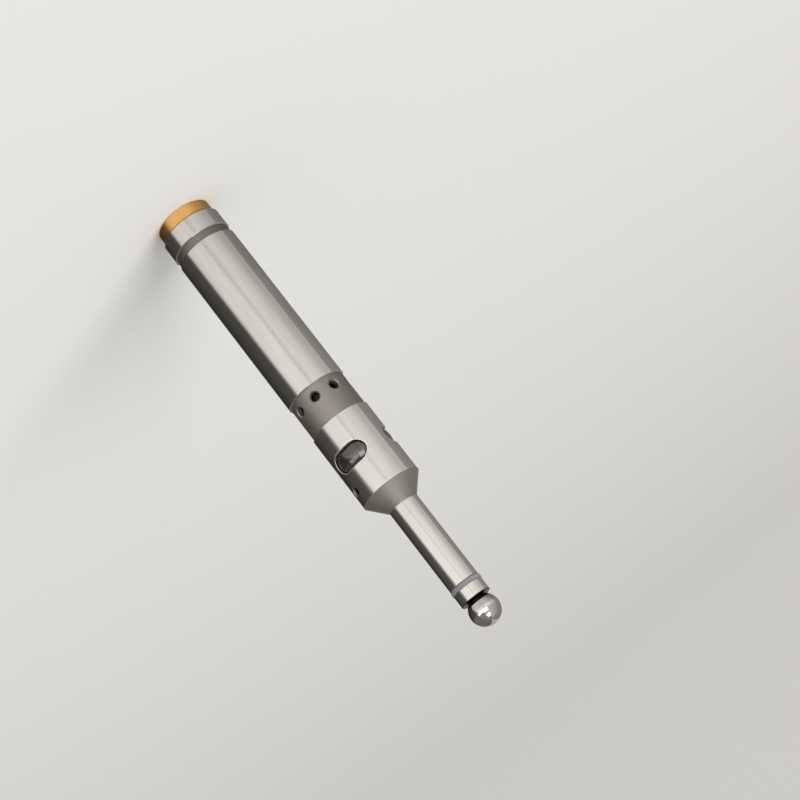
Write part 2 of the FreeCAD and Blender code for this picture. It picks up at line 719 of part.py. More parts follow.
def make_battery_contact():
    """Brass rivet that touches the battery's raised end."""
    return turned("battery_contact", [
        ("0", "Derived.battery_end"),
        ("Sizes.contact_head_dia / 2", "Derived.battery_end"),
        ("Sizes.contact_head_dia / 2", "Derived.carrier_start"),
        ("Sizes.contact_dia / 2", "Derived.carrier_start"),
        ("Sizes.contact_dia / 2", "Derived.carrier_end"),
        ("0", "Derived.carrier_end"),
    ])


def coil(name, diameter, pitch, turns, wire, start):
    """A round-wire coil swept along a helix; its first end lies on +X."""
    helix = doc.addObject("Part::Helix", name + "_path")
    helix.setExpression("Radius", f"{diameter} / 2")
    helix.setExpression("Pitch", pitch)
    helix.setExpression("Height", f"{pitch} * {turns}")
    helix.setExpression("Placement.Base.z", start)
    section = doc.addObject("Part::Circle", name + "_section")
    section.Placement = FreeCAD.Placement(V(1, 0, 0), FreeCAD.Rotation(V(1, 0, 0), 90))
    section.setExpression("Radius", f"{wire} / 2")
    section.setExpression("Placement.Base.x", f"{diameter} / 2")
    section.setExpression("Placement.Base.z", start)
    doc.recompute()
    sweep = doc.addObject("Part::Sweep", name)
    sweep.Sections = [section]
    sweep.Spine = (helix, ["Edge1"])
    sweep.Solid = True
    sweep.Frenet = True
    doc.recompute()
    return sweep


def make_battery_spring():
    """Compression spring between the cap and the battery's flat end, with rounded wire ends."""
    wire = "Sizes.battery_spring_wire"
    radius = f"(Sizes.battery_spring_dia - {wire}) / 2"
    rise = f"Sizes.battery_spring_length - {wire}"
    start = f"Sizes.cap_end_wall + Sizes.spring_end_gap + {wire} / 2"
    pieces = [coil("battery_spring_coil", f"2 * {radius}",
                   f"({rise}) / Sizes.battery_spring_turns", "Sizes.battery_spring_turns",
                   wire, start)]
    for number, level in enumerate((start, f"{start} + {rise}"), start=1):
        pieces.append(primitive("Sphere", f"battery_spring_end_{number}", Radius=f"{wire} / 2",
                                x=radius, z=level))
    return joined("battery_spring", pieces)


# ---------------------------------------------------------------- electronics
def make_driver_board():
    """Narrow circuit board standing along the axis between contact and buzzer."""
    board = primitive("Box", "driver_board", Length="Sizes.board_width",
                      Width="Sizes.board_thickness", Height="Derived.board_end - Derived.carrier_end",
                      x="-Sizes.board_width / 2", y="-Sizes.board_thickness / 2",
                      z="Derived.carrier_end")
    return board


def make_transistor():
    """Switching transistor: half-round case on three leads that stand on the board."""
    front = "-Sizes.board_thickness / 2"
    level = "Derived.second_row"
    middle = "Sizes.board_part_offset"
    case = primitive("Box", "transistor_case", Length="Sizes.transistor_width",
                     Width="Sizes.transistor_depth", Height="Sizes.transistor_height",
                     x=f"{middle} - Sizes.transistor_width / 2", z=level,
                     y=f"{front} - Sizes.part_standoff - Sizes.transistor_depth")
    rounding = primitive("Cylinder", "transistor_round", Radius="Sizes.transistor_depth",
                         Height="Sizes.transistor_height", x=middle, z=level,
                         y=f"{front} - Sizes.part_standoff")
    block = doc.addObject("Part::Common", "transistor_block")
    block.Base = case
    block.Tool = rounding
    pieces = [block]
    for number in (-1, 0, 1):
        pieces.append(primitive(
            "Box", f"transistor_lead_{number + 2}", Length="Sizes.part_lead",
            Width="Sizes.part_standoff + Sizes.transistor_lead_root", Height="Sizes.part_lead",
            x=f"{middle} + {number} * Sizes.transistor_pitch - Sizes.part_lead / 2",
            y=f"{front} - Sizes.part_standoff - Sizes.transistor_lead_root",
            z=f"{level} + Sizes.transistor_lead_rise"))
    return joined("transistor", pieces)


def lying_part(name, diameter, length, across, level):
    """A round part lying along the axis in front of the board, with a foot at each end."""
    lead = "Sizes.part_lead"
    centre = f"-Sizes.board_thickness / 2 - Sizes.part_standoff - {diameter} / 2"
    can = primitive("Cylinder", name + "_can", Radius=f"{diameter} / 2", Height=length,
                    x=across, y=centre, z=level)
    feet = []
    for number, foot_level in enumerate((f"{level} + {lead}", f"{level} + {length} - 2 * {lead}")):
        feet.append(primitive("Box", f"{name}_foot_{number + 1}", Length=lead,
                              Width=f"Sizes.part_standoff + {diameter} / 2", Height=lead,
                              x=f"{across} - {lead} / 2", y=centre, z=foot_level))
    return [can] + feet


def make_resistor(number):
    """One of the resistors that lie side by side at the contact end of the board."""
    label = f"resistor_{number + 1}"
    return joined(label, lying_part(
        label, "Sizes.resistor_dia", "Sizes.resistor_length",
        f"({number} - (Sizes.resistor_count - 1) / 2) * Sizes.resistor_pitch",
        "Derived.first_row"))


def make_capacitor():
    """Small electrolytic capacitor beside the transistor."""
    return joined("capacitor", lying_part(
        "capacitor", "Sizes.capacitor_dia", "Sizes.capacitor_length",
        "-Sizes.board_part_offset", "Derived.second_row"))


def make_buzzer():
    """Sounder can with its port towards the lamp board and two pins to the driver board."""
    top = "Derived.buzzer_start + Sizes.buzzer_height"
    port_floor = f"{top} - Sizes.buzzer_port_depth"
    body = turned("buzzer", [
        ("0", "Derived.buzzer_start"),
        ("Derived.buzzer_dia / 2", "Derived.buzzer_start"),
        ("Derived.buzzer_dia / 2", f"{top} - Sizes.edge_break"),
        ("Derived.buzzer_dia / 2 - Sizes.edge_break", top),
        ("Sizes.buzzer_port / 2", top),
        ("Sizes.buzzer_port / 2", port_floor),
        ("0", port_floor),
    ])
    pins = new_sketch(body, "buzzer_pins_outline", "XY_Plane")
    pins.AttachmentOffset = FreeCAD.Placement(V(0, 0, 1), FreeCAD.Rotation())
    pins.setExpression("AttachmentOffset.Base.z", "Derived.buzzer_start")
    row = "Sizes.board_thickness / 2 + Sizes.buzzer_pin / 2"
    for side in ("-", ""):
        circle(pins, f"{side}Sizes.buzzer_pin_spread / 2", row, "Sizes.buzzer_pin")
    pad = feature(body, "Pad", "buzzer_pins", pins, Type="Length", Reversed=True)
    pad.setExpression("Length", "Sizes.buzzer_pin_length")
    return body


def make_buzzer_mount():
    """Plastic disc that carries the buzzer, drilled for its pins and notched for two wires."""
    body = turned("buzzer_mount", [
        ("0", "Derived.chamber_start"),
        ("Derived.chamber_dia / 2", "Derived.chamber_start"),
        ("Derived.chamber_dia / 2", "Derived.buzzer_start"),
        ("0", "Derived.buzzer_start"),
    ])
    cuts = new_sketch(body, "buzzer_mount_cuts_outline", "XY_Plane")
    row = "-Sizes.board_thickness / 2 - Sizes.wire_dia / 2"
    low = f"{row} - Sizes.wire_notch / 2"
    high = f"{row} + Sizes.wire_notch / 2"
    inner = "Sizes.wire_spread_low / 2 - Sizes.wire_notch_margin"
    outer = "Derived.chamber_dia / 2 + Sizes.wire_dia"
    for side in ("-", ""):
        outline(cuts, [(f"{side}({inner})", low), (f"{side}({outer})", low),
                       (f"{side}({outer})", high), (f"{side}({inner})", high)])
        circle(cuts, f"{side}Sizes.buzzer_pin_spread / 2",
               "Sizes.board_thickness / 2 + Sizes.buzzer_pin / 2",
               "Sizes.buzzer_pin + 2 * Sizes.pin_gap")
    feature(body, "Pocket", "buzzer_mount_cuts", cuts, Type="ThroughAll", Midplane=True)
    return body


def make_lead_wires():
    """Two wires soldered to the driver board that pass the buzzer to the lamp board."""
    plane_y = -value_of("Sizes.board_thickness / 2 + Sizes.wire_dia / 2")
    low = value_of("Sizes.wire_spread_low") / 2
    high = value_of("Derived.wire_spread_high") / 2
    bend = value_of("Sizes.wire_bend")
    start = value_of("Derived.board_end - Sizes.wire_solder_length")
    level = value_of("Derived.board_end - Sizes.part_standoff")
    end = value_of("Derived.joint_end")
    angle = math.acos(1 - (high - low) / (2 * bend))
    rise = bend * math.sin(angle)
    wires = []
    for side in (-1, 1):
        half_turn = angle / 2

        def first_arc(share):
            return V(side * (low + bend * (1 - math.cos(share))), plane_y,
                     level + bend * math.sin(share))

        def second_arc(share):
            return V(side * (high - bend * (1 - math.cos(share))), plane_y,
                     level + 2 * rise - bend * math.sin(share))

        edges = [
            Part.LineSegment(V(side * low, plane_y, start), first_arc(0)).toShape(),
            Part.Arc(first_arc(0), first_arc(half_turn), first_arc(angle)).toShape(),
            Part.Arc(second_arc(angle), second_arc(half_turn), second_arc(0)).toShape(),
            Part.LineSegment(second_arc(0), V(side * high, plane_y, end)).toShape(),
        ]
        section = Part.makeCircle(value_of("Sizes.wire_dia") / 2, V(side * low, plane_y, start),
                                  V(0, 0, 1))
        wires.append(Part.Wire(edges).makePipeShell([Part.Wire([section])], True, True))
    item = doc.addObject("Part::Feature", "lead_wires")
    item.Label = "lead_wires"
    item.Shape = Part.Compound(wires)
    return item


# ---------------------------------------------------------------- lamps
def make_lamp_board():
    """Round board seated on the end of the shank's joint spigot."""
    return turned("lamp_board", [
        ("Sizes.anchor_rod_dia / 2", "Derived.joint_end"),
        ("Derived.housing_bore / 2 - Sizes.lamp_board_gap", "Derived.joint_end"),
        ("Derived.housing_bore / 2 - Sizes.lamp_board_gap", "Derived.holder_start"),
        ("Sizes.anchor_rod_dia / 2", "Derived.holder_start"),
    ])


def make_lamp_holder():
    """Black moulded hub with one radial pocket for each lamp."""
    foot = "Derived.housing_bore / 2 - Sizes.lamp_board_gap"
    foot_top = "Derived.holder_start + Sizes.holder_foot"
    cavity_top = "Derived.window_level + Sizes.lamp_rim_dia / 2 + Sizes.holder_cavity_clearance"
    nut_room = "Sizes.nut_across_flats / sqrt(3) + Sizes.lamp_hole_gap"
    nut_floor = "Derived.holder_end - Sizes.nut_height - Sizes.lamp_hole_gap"
    rod = "Sizes.anchor_rod_dia / 2 + Sizes.lamp_hole_gap"
    body = turned("lamp_holder", [
        ("Sizes.holder_cavity / 2", "Derived.holder_start"),
        (foot, "Derived.holder_start"),
        (foot, foot_top),
        ("Derived.holder_dia / 2", foot_top),
        ("Derived.holder_dia / 2", "Derived.holder_end"),
        (nut_room, "Derived.holder_end"),
        (nut_room, nut_floor),
        (rod, nut_floor),
        (rod, cavity_top),
        ("Sizes.holder_cavity / 2", cavity_top),
    ])
    sketch = new_sketch(body, "lamp_pocket_outline")
    circle(sketch, "0", "Derived.window_level", "Sizes.lamp_dia + 2 * Sizes.lamp_hole_gap")
    pocket = feature(body, "Pocket", "lamp_pocket", sketch, Type="ThroughAll", Reversed=True)
    rim = new_sketch(body, "lamp_rim_outline")
    circle(rim, "0", "Derived.window_level", "Sizes.lamp_rim_dia + 2 * Sizes.lamp_hole_gap")
    rim_pocket = feature(body, "Pocket", "lamp_rim_pocket", rim, Type="Length", Reversed=True)
    rim_pocket.setExpression("Length", "Sizes.lamp_start + Sizes.lamp_rim + Sizes.lamp_hole_gap")
    polar(body, "lamp_pockets", [pocket, rim_pocket], "Sizes.window_count")
    return body


def make_lamp(number):
    """Domed light-emitting diode that points outwards; its leads turn down to the board."""
    label = f"lamp_{number + 1}"
    dome = "Sizes.lamp_dia / 2"
    level = "Derived.window_level"
    straight = f"Derived.lamp_length - {dome}"
    barrel = primitive("Cylinder", label + "_barrel", Radius=dome, Height=straight,
                       y="-Sizes.lamp_start", z=level)
    barrel.Placement = FreeCAD.Placement(barrel.Placement.Base, FreeCAD.Rotation(V(1, 0, 0), 90))
    rim = primitive("Cylinder", label + "_rim", Radius="Sizes.lamp_rim_dia / 2",
                    Height="Sizes.lamp_rim", y="-Sizes.lamp_start", z=level)
    rim.Placement = FreeCAD.Placement(rim.Placement.Base, FreeCAD.Rotation(V(1, 0, 0), 90))
    nose = primitive("Sphere", label + "_dome", Radius=dome,
                     y=f"-Sizes.lamp_start - ({straight})", z=level)
    pieces = [barrel, rim, nose]
    for side in (-1, 1):
        across = f"{side} * Sizes.lamp_lead_pitch / 2 - Sizes.lamp_lead / 2"
        name = f"{label}_lead_{(side + 3) // 2}"
        pieces.append(primitive("Box", name + "_out", Length="Sizes.lamp_lead",
                                Width="Sizes.lamp_start - Sizes.lamp_lead_bend + Sizes.lamp_lead",
                                Height="Sizes.lamp_lead", x=across,
                                y="-Sizes.lamp_start", z=f"{level} - Sizes.lamp_lead / 2"))
        pieces.append(primitive("Box", name + "_down", Length="Sizes.lamp_lead",
                                Width="Sizes.lamp_lead",
                                Height=f"{level} + Sizes.lamp_lead / 2 - Derived.holder_start",
                                x=across, y="-Sizes.lamp_lead_bend", z="Derived.holder_start"))
    lamp = joined(label, pieces)
    spin_about_z(lamp, f"{number} * 360 / Sizes.window_count")
    return lamp


# ---------------------------------------------------------------- spring anchor
def cut_tongue(body, name, low, high, eye, radius):
    """Flatten a stretch of rod to a tongue and drill its eye across it."""
    for side in (-1, 1):
        sketch = new_sketch(body, f"{name}_flat_{(side + 3) // 2}_outline")
        inner = f"{side} * Sizes.tongue_wall / 2"
        outer = f"{side} * ({radius})"
        outline(sketch, [(inner, low), (outer, low), (outer, high), (inner, high)])
        feature(body, "Pocket", f"{name}_flat_{(side + 3) // 2}", sketch, Type="ThroughAll",
                Midplane=True)
    hole = new_sketch(body, name + "_eye_outline", "YZ_Plane")
    circle(hole, "0", eye, "Sizes.eye_dia")
    feature(body, "Pocket", name + "_eye", hole, Type="ThroughAll", Midplane=True)


def make_spring_anchor():
    """Brass rod from the lamp board through the bush, flattened to an eye at its front."""
    rod = "Sizes.anchor_rod_dia / 2"
    thread = "Sizes.anchor_thread_dia / 2"
    thread_start = "Derived.shoulder_level - Sizes.nut_height"
    body = turned("spring_anchor", [
        ("0", "Derived.joint_end"),
        (rod, "Derived.joint_end"),
        (rod, thread_start),
        (thread, thread_start),
        (thread, "Derived.anchor_top"),
        ("0", "Derived.anchor_top"),
    ])
    cut_tongue(body, "anchor", "Derived.anchor_top - Sizes.tongue_length", "Derived.anchor_top",
               "Derived.anchor_eye", thread)
    return body


def make_anchor_bush():
    """Insulating bush that holds the spring anchor clear of the steel."""
    return turned("anchor_bush", [
        ("Sizes.anchor_thread_dia / 2", "Derived.shoulder_level"),
        ("Sizes.anchor_bush_dia / 2", "Derived.shoulder_level"),
        ("Sizes.anchor_bush_dia / 2", "Derived.anchor_bush_end"),
        ("Sizes.anchor_thread_dia / 2", "Derived.anchor_bush_end"),
    ])


def make_anchor_nut():
    """Hexagon nut that pulls the anchor back against the bush."""
    body = new_body("anchor_nut")
    sketch = new_sketch(body, "anchor_nut_outline", "XY_Plane")
    hexagon(sketch, "Sizes.nut_across_flats")
    circle(sketch, "0", "0", "Sizes.anchor_thread_dia")
    sketch.AttachmentOffset = FreeCAD.Placement(V(0, 0, 1), FreeCAD.Rotation())
    sketch.setExpression("AttachmentOffset.Base.z", "Derived.shoulder_level")
    pad = feature(body, "Pad", "anchor_nut_pad", sketch, Type="Length", Reversed=True)
    pad.setExpression("Length", "Sizes.nut_height")
    return body


# ---------------------------------------------------------------- stem and tip
def make_stem_liner():
    """Insulating tube round the return spring."""
    outside = "Sizes.stem_bore / 2 - Sizes.liner_gap"
    inside = outside + " - Sizes.liner_wall"
    return turned("stem_liner", [
        (inside, "Derived.anchor_bush_end"),
        (outside, "Derived.anchor_bush_end"),
        (outside, "Derived.bush_tail_start"),
        (inside, "Derived.bush_tail_start"),
    ])


def make_tip_bush():
    """Insulating bush whose flange shows as a grey ring between stem and collar."""
    nose_end = "Derived.collar_start + Sizes.bush_nose"
    flange = "Sizes.bush_flange_dia / 2"
    return turned("tip_bush", [
        ("Sizes.bush_bore / 2", "Derived.bush_tail_start"),
        ("Sizes.bush_tail_dia / 2", "Derived.bush_tail_start"),
        ("Sizes.bush_tail_dia / 2", "Derived.stem_end"),
        (flange + " - Sizes.tip_edge_break", "Derived.stem_end"),
        (flange, "Derived.stem_end + Sizes.tip_edge_break"),
        (flange, "Derived.collar_start - Sizes.tip_edge_break"),
        (flange + " - Sizes.tip_edge_break", "Derived.collar_start"),
        ("Sizes.bush_nose_dia / 2", "Derived.collar_start"),
        ("Sizes.bush_nose_dia / 2", nose_end),
        ("Sizes.bush_bore / 2", nose_end),
    ])


def make_tip_collar():
    """Steel collar pressed on the bush, with the conical seat for the ball."""
    outside = "Sizes.collar_dia / 2"
    nose_end = "Derived.collar_start + Sizes.bush_nose"
    slope = "tan(Sizes.seat_angle)"
    return turned("tip_collar", [
        ("Sizes.bush_nose_dia / 2", "Derived.collar_start"),
        (outside + " - Sizes.tip_edge_break", "Derived.collar_start"),
        (outside, "Derived.collar_start + Sizes.tip_edge_break"),
        (outside, "Derived.collar_end - Sizes.tip_edge_break"),
        (outside + " - Sizes.tip_edge_break", "Derived.collar_end"),
        (f"(Derived.collar_end - Derived.seat_apex) * {slope}", "Derived.collar_end"),
        ("Sizes.bush_bore / 2", f"Derived.seat_apex + Sizes.bush_bore / 2 / {slope}"),
        ("Sizes.bush_bore / 2", nose_end),
        ("Sizes.bush_nose_dia / 2", nose_end),
    ])


def make_contact_ball():
    """Hardened ball, drilled on its underside for the stud."""
    ball = primitive("Sphere", "contact_ball_blank", Radius="Sizes.ball_dia / 2",
                     z="Derived.ball_level")
    drill = primitive("Cylinder", "contact_ball_drill", Radius="Sizes.stud_dia / 2",
                      Height="Sizes.stud_grip + Sizes.ball_dia",
                      z="Derived.stud_top - Sizes.stud_grip - Sizes.ball_dia")
    item = doc.addObject("Part::Cut", "contact_ball")
    item.Label = "contact_ball"
    item.Base = ball
    item.Tool = drill
    return item


def make_ball_stud():
    """Pin pressed in the ball, with an eye for the return spring."""
    radius = "Sizes.stud_dia / 2"
    body = turned("ball_stud", [
        ("0", "Derived.stud_end"),
        (radius, "Derived.stud_end"),
        (radius, "Derived.stud_top"),
        ("0", "Derived.stud_top"),
    ])
    cut_tongue(body, "stud", "Derived.stud_end", "Derived.stud_end + Sizes.tongue_length",
               "Derived.stud_eye", radius)
    return body


def make_return_spring():
    """Tension spring: close coil, a leg on the axis and a ring hook at each end."""
    wire = "Sizes.return_wire / 2"
    radius = "Sizes.return_coil_dia / 2"
    hook = "Sizes.return_hook_dia / 2"
    pieces = [coil("return_spring_coil", "Sizes.return_coil_dia", "Sizes.return_coil_pitch",
                   "Sizes.return_coil_turns", "Sizes.return_wire", "Derived.coil_start")]
    ends = [
        ("front", "Derived.coil_top", "Derived.coil_top", "Sizes.return_wire",
         f"Derived.stud_eye - {hook}"),
        ("rear", "Derived.coil_start", "Derived.hook_level", "Sizes.return_leg",
         f"Derived.hook_level - {hook}"),
    ]
    for name, level, leg_start, leg_length, ring_level in ends:
        label = f"return_spring_{name}"
        arm = primitive("Cylinder", label + "_arm", Radius=wire, Height=radius, z=level)
        arm.Placement = FreeCAD.Placement(V(0, 0, 0), FreeCAD.Rotation(V(0, 1, 0), 90))
        ring = primitive("Torus", label + "_hook", Radius1=hook, Radius2=wire, z=ring_level)
        ring.Placement = FreeCAD.Placement(V(0, 0, 0), FreeCAD.Rotation(V(1, 0, 0), 90))
        pieces += [
            arm, ring,
            primitive("Sphere", label + "_outer_corner", Radius=wire, x=radius, z=level),
            primitive("Sphere", label + "_axis_corner", Radius=wire, z=level),
            primitive("Cylinder", label + "_leg", Radius=wire, Height=leg_length, z=leg_start),
        ]
    return joined("return_spring", pieces)


# ---------------------------------------------------------------- build everything
window_count = round(value_of("Sizes.window_count"))
resistor_count = round(value_of("Sizes.resistor_count"))
pieces = [
    make_battery_cap(), make_shank_body(), make_front_body(), make_set_screw(),
    make_battery(), make_battery_sleeve(), make_battery_spring(), make_contact_carrier(),
    make_battery_contact(), make_driver_board(), make_transistor(), make_capacitor(),
    make_buzzer(), make_buzzer_mount(), make_lead_wires(),
    make_lamp_board(), make_lamp_holder(), make_spring_anchor(), make_anchor_bush(),
    make_anchor_nut(), make_stem_liner(), make_tip_bush(), make_tip_collar(),
    make_contact_ball(), make_ball_stud(), make_return_spring(),
]
for window in range(window_count):
    pieces.append(make_window_lens(window))
    pieces.append(make_lamp(window))
for resistor in range(resistor_count):
    pieces.append(make_resistor(resistor))
doc.recompute()

# ---------------------------------------------------------------- check and write
faults = [item.Name for item in doc.Objects if {"Invalid", "Error"} & set(item.State)]
for piece in pieces:
    if piece.Shape.isNull() or not piece.Shape.isValid():
        faults.append(piece.Label)
if faults:
    raise RuntimeError("failed: " + ", ".join(faults))

os.makedirs("parts", exist_ok=True)
for piece in pieces:
    box = piece.Shape.BoundBox
    print(f"{piece.Label:18s} volume {piece.Shape.Volume:9.2f} mm3  Z {box.ZMin:7.2f} to {box.ZMax:7.2f}"
          f"  solids {len(piece.Shape.Solids)}")
    piece.Shape.exportStep(f"parts/{piece.Label}.step")
print(len(pieces), "pieces")
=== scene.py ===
# %% [markdown]
# # An electronic edge finder
# A milling machine's spindle holds this gauge by its ground shank. When the ball touches the
# work, a circle closes through the machine and red lamps light behind the smoked windows.
# Nearly everything that shows is turned on a lathe, so this scene is a lesson in surfaces of
# revolution, in holes cut through them, and in how bright metal shows the room round it.

# %% The fixed frame
import json
import math

import bpy
import numpy as np
from mathutils import Matrix, Vector


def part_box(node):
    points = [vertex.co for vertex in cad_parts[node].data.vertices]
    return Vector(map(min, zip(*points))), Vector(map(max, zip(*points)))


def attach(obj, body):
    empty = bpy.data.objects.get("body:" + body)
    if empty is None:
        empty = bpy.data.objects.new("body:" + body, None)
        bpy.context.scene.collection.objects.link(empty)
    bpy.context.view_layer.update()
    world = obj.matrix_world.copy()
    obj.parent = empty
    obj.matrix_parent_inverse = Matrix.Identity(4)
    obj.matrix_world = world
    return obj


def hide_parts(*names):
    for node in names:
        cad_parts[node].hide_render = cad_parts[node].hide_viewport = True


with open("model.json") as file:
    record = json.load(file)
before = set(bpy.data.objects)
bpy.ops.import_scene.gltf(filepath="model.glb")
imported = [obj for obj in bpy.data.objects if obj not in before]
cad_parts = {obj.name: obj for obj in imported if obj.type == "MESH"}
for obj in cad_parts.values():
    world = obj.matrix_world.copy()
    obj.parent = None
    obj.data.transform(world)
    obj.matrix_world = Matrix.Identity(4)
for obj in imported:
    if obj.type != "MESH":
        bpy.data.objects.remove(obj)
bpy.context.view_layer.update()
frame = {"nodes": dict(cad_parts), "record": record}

MM = 0.001
scene = bpy.context.scene
nodes = frame["nodes"]


def in_scene(name, data):
    """A new object that holds the data, linked into the scene."""
    made = bpy.data.objects.new(name, data)
    scene.collection.objects.link(made)
    return made



# %% [markdown]
# ## The camera
# The finder stands on its cap in its own frame, and the picture is taken from above and to one
# side with the camera rolled, so that the tool lies from the upper left to the lower right.
# A matrix is built from its place and two directions, which is surer than three rotation
# angles when a camera is rolled by more than a little.

# %% Camera
CAMERA_PLACE = Vector((-237.33, -499.82, 256.33)) * MM
CAMERA_LOOK = Vector((0.38199, 0.87791, -0.28870)).normalized()
CAMERA_RIGHT = Vector((-0.64894, 0.47723, 0.59256))
CAMERA_ANGLE = math.radians(23.316)

camera_data = bpy.data.cameras.new("camera")
camera_data.angle = CAMERA_ANGLE
camera_data.clip_start = 0.01
camera = in_scene("camera", camera_data)
back = -CAMERA_LOOK
right = (CAMERA_RIGHT - CAMERA_RIGHT.dot(back) * back).normalized()
up = back.cross(right)
turn = Matrix((right, up, back)).transposed().to_4x4()
camera.matrix_world = Matrix.Translation(CAMERA_PLACE) @ turn
scene.camera = camera
scene.view_settings.view_transform = "Standard"

# The level direction from the tool to the camera, from which the panels of light are placed.
FACING = math.atan2(CAMERA_PLACE.y, CAMERA_PLACE.x)
print("the camera stands at", round(math.degrees(FACING), 1), "degrees round the tool")

# %% [markdown]
# ## Helpers for node trees
# Every finish below is a tree of nodes. One function adds a node, sets what it is told to, and
# joins the sockets it is given. A second turns an sRGB hex colour to the linear numbers that
# shaders work in, because a listed colour is always an sRGB one.


# %% Node and colour helpers
def linear(hex_colour):
    """An sRGB hex colour as linear RGBA: under 0.04045 divide by 12.92, over it a power of 2.4."""
    parts = np.array([int(hex_colour[i:i + 2], 16) for i in (1, 3, 5)]) / 255
    curve = np.where(parts <= 0.04045, parts / 12.92, ((parts + 0.055) / 1.055) ** 2.4)
    return (*curve.tolist(), 1.0)


def add(tree, kind, inputs=None, **settings):
    """Adds a node. Settings are its own properties; inputs give a value or a link to a socket."""
    made = tree.nodes.new(kind)
    for key, value in settings.items():
        setattr(made, key, value)
    for key, value in (inputs or {}).items():
        if isinstance(value, bpy.types.NodeSocket):
            tree.links.new(value, made.inputs[key])
        else:
            made.inputs[key].default_value = value
    return made


# %% [markdown]
# ## The light tent
# Bright metal has next to no colour of its own: it shows the room. Such tools are pictured in a
# tent of white cloth with dark card beside it, and the long bands on the shank are the tent's
# panels. Planes that glow would do, but a world is lighter and casts no shadow by mistake. Each
# panel is a band round the upright axis, placed by its bearing in degrees from the camera's
# side, so every ground surface shows the same edges along its length.

# %% Bearings and heights in the tent
DEGREES = 180 / math.pi
world = bpy.data.worlds.new("light_tent")
scene.world = world
world.use_nodes = True
world.cycles.sampling_method = "NONE"
tent = world.node_tree
tent.nodes.clear()


def together(parts, operation="MULTIPLY"):
    """Several values made one, taken from the first to the last: their product, or another sum."""
    whole = parts[0]
    for part in parts[1:]:
        whole = add(tent, "ShaderNodeMath", {0: whole, 1: part}, operation=operation).outputs[0]
    return whole


ray = add(tent, "ShaderNodeTexCoord").outputs["Generated"]
facing = add(tent, "ShaderNodeMapping", {"Vector": ray, "Rotation": (0, 0, -FACING)})
split = add(tent, "ShaderNodeSeparateXYZ", {0: facing.outputs[0]})
bearing = together([together([split.outputs[1], split.outputs[0]], "ARCTAN2"), -DEGREES])
tilt = add(tent, "ShaderNodeMath", {0: split.outputs[2]}, operation="ARCSINE").outputs[0]
height = together([tilt, DEGREES])


# %% Panels
def soft_edge(value, low, high):
    """A smooth step from 0 at low to 1 at high, falling where high is the lower of the two."""
    return add(tent, "ShaderNodeMapRange", {"Value": value, "From Min": low, "From Max": high},
               interpolation_type="SMOOTHSTEP").outputs[0]


def panel(bright, low, high, soft_low=3.0, soft_high=3.0, lean=0.0):
    """A band of light between two bearings, with soft edges; lean slides the first with height."""
    slid = together([bearing, together([height, lean])], "ADD") if lean else bearing
    rising = soft_edge(slid, low - soft_low, low + soft_low)
    falling = soft_edge(bearing, high + soft_high, high - soft_high)
    return together([rising, falling, bright])


PANELS = [
    # the main cloth, whose left edge leans, so the bright band narrows towards the ball
    panel(0.86, -41, 91, soft_low=2.5, soft_high=3, lean=-1.05),
    # its brighter left and right parts, and its far side, which the lamp reaches less
    panel(0.30, -62, 2, soft_low=12, soft_high=10),
    panel(0.22, 10, 62, soft_low=10, soft_high=22),
    panel(-0.22, 50, 91, soft_low=32, soft_high=3),
    # the grey wall past its right edge
    panel(0.38, 89, 165, soft_low=3, soft_high=105),
    # a thin seam between two lengths of cloth
    panel(-0.10, -1, 8, soft_low=4, soft_high=5),
    # a trace of light on the dark card at the left
    panel(0.07, -118, -58, soft_low=45, soft_high=10),
    # the cloth opposite the camera in two halves, for the back of the tool
    panel(0.80, 162, 400, soft_low=5),
    panel(0.80, -400, -162, soft_high=5),
]
total = together(PANELS, "ADD")
lift = add(tent, "ShaderNodeMapRange", {"Value": height, "From Min": -27.0, "From Max": -13.0,
                                        "To Min": 0.70, "To Max": 1.12}).outputs[0]
print("light tent:", len(PANELS), "panels")

# %% [markdown]
# ## What each ray sees
# Upright walls seen from above mirror only what lies below eye level, where the cloth grows
# brighter with height. The ball and the crowned lenses mirror the whole tent, so over eye level
# it is dimmer and has three openings, which they show as small bright patches. Matt surfaces are
# lit evenly, so all but the mirror-like rays get a plain white, and the eye gets the card's.

# %% Openings, and the world's output
TENT_WHITE = 0.60      # what matt surfaces see of the tent
SEEN_WHITE = 0.80      # what is seen of it past the floor, to match the card
DARK_GLOW = 0.03       # what the darkest card still gives back
UPPER_GLOW = 0.16      # the same over eye level, where the panels give only a share
UPPER_SHARE = 0.5
EYE_SOFT = 4           # degrees over which the lower part turns into the upper


def opening(bright, left, right, low, high, soft=2):
    """A lit opening between two bearings and two heights, with soft edges."""
    across = together([soft_edge(bearing, left - soft, left + soft),
                       soft_edge(bearing, right + soft, right - soft)])
    upward = together([soft_edge(height, low - soft, low + soft),
                       soft_edge(height, high + soft, high - soft)])
    return together([across, upward, bright])


OPENINGS = [opening(1.6, -60, -20, -3, 16), opening(2.8, -15, 22, 0, 22),
            opening(1.3, -20, 24, 38, 66)]
upper = together([together([total, UPPER_SHARE]), UPPER_GLOW, *OPENINGS], "ADD")
below = soft_edge(height, EYE_SOFT, -EYE_SOFT)
lower_part = together([total, lift, below])
upper_part = together([upper, together([1.0, below], "SUBTRACT")])
glow = together([lower_part, upper_part, DARK_GLOW], "ADD")

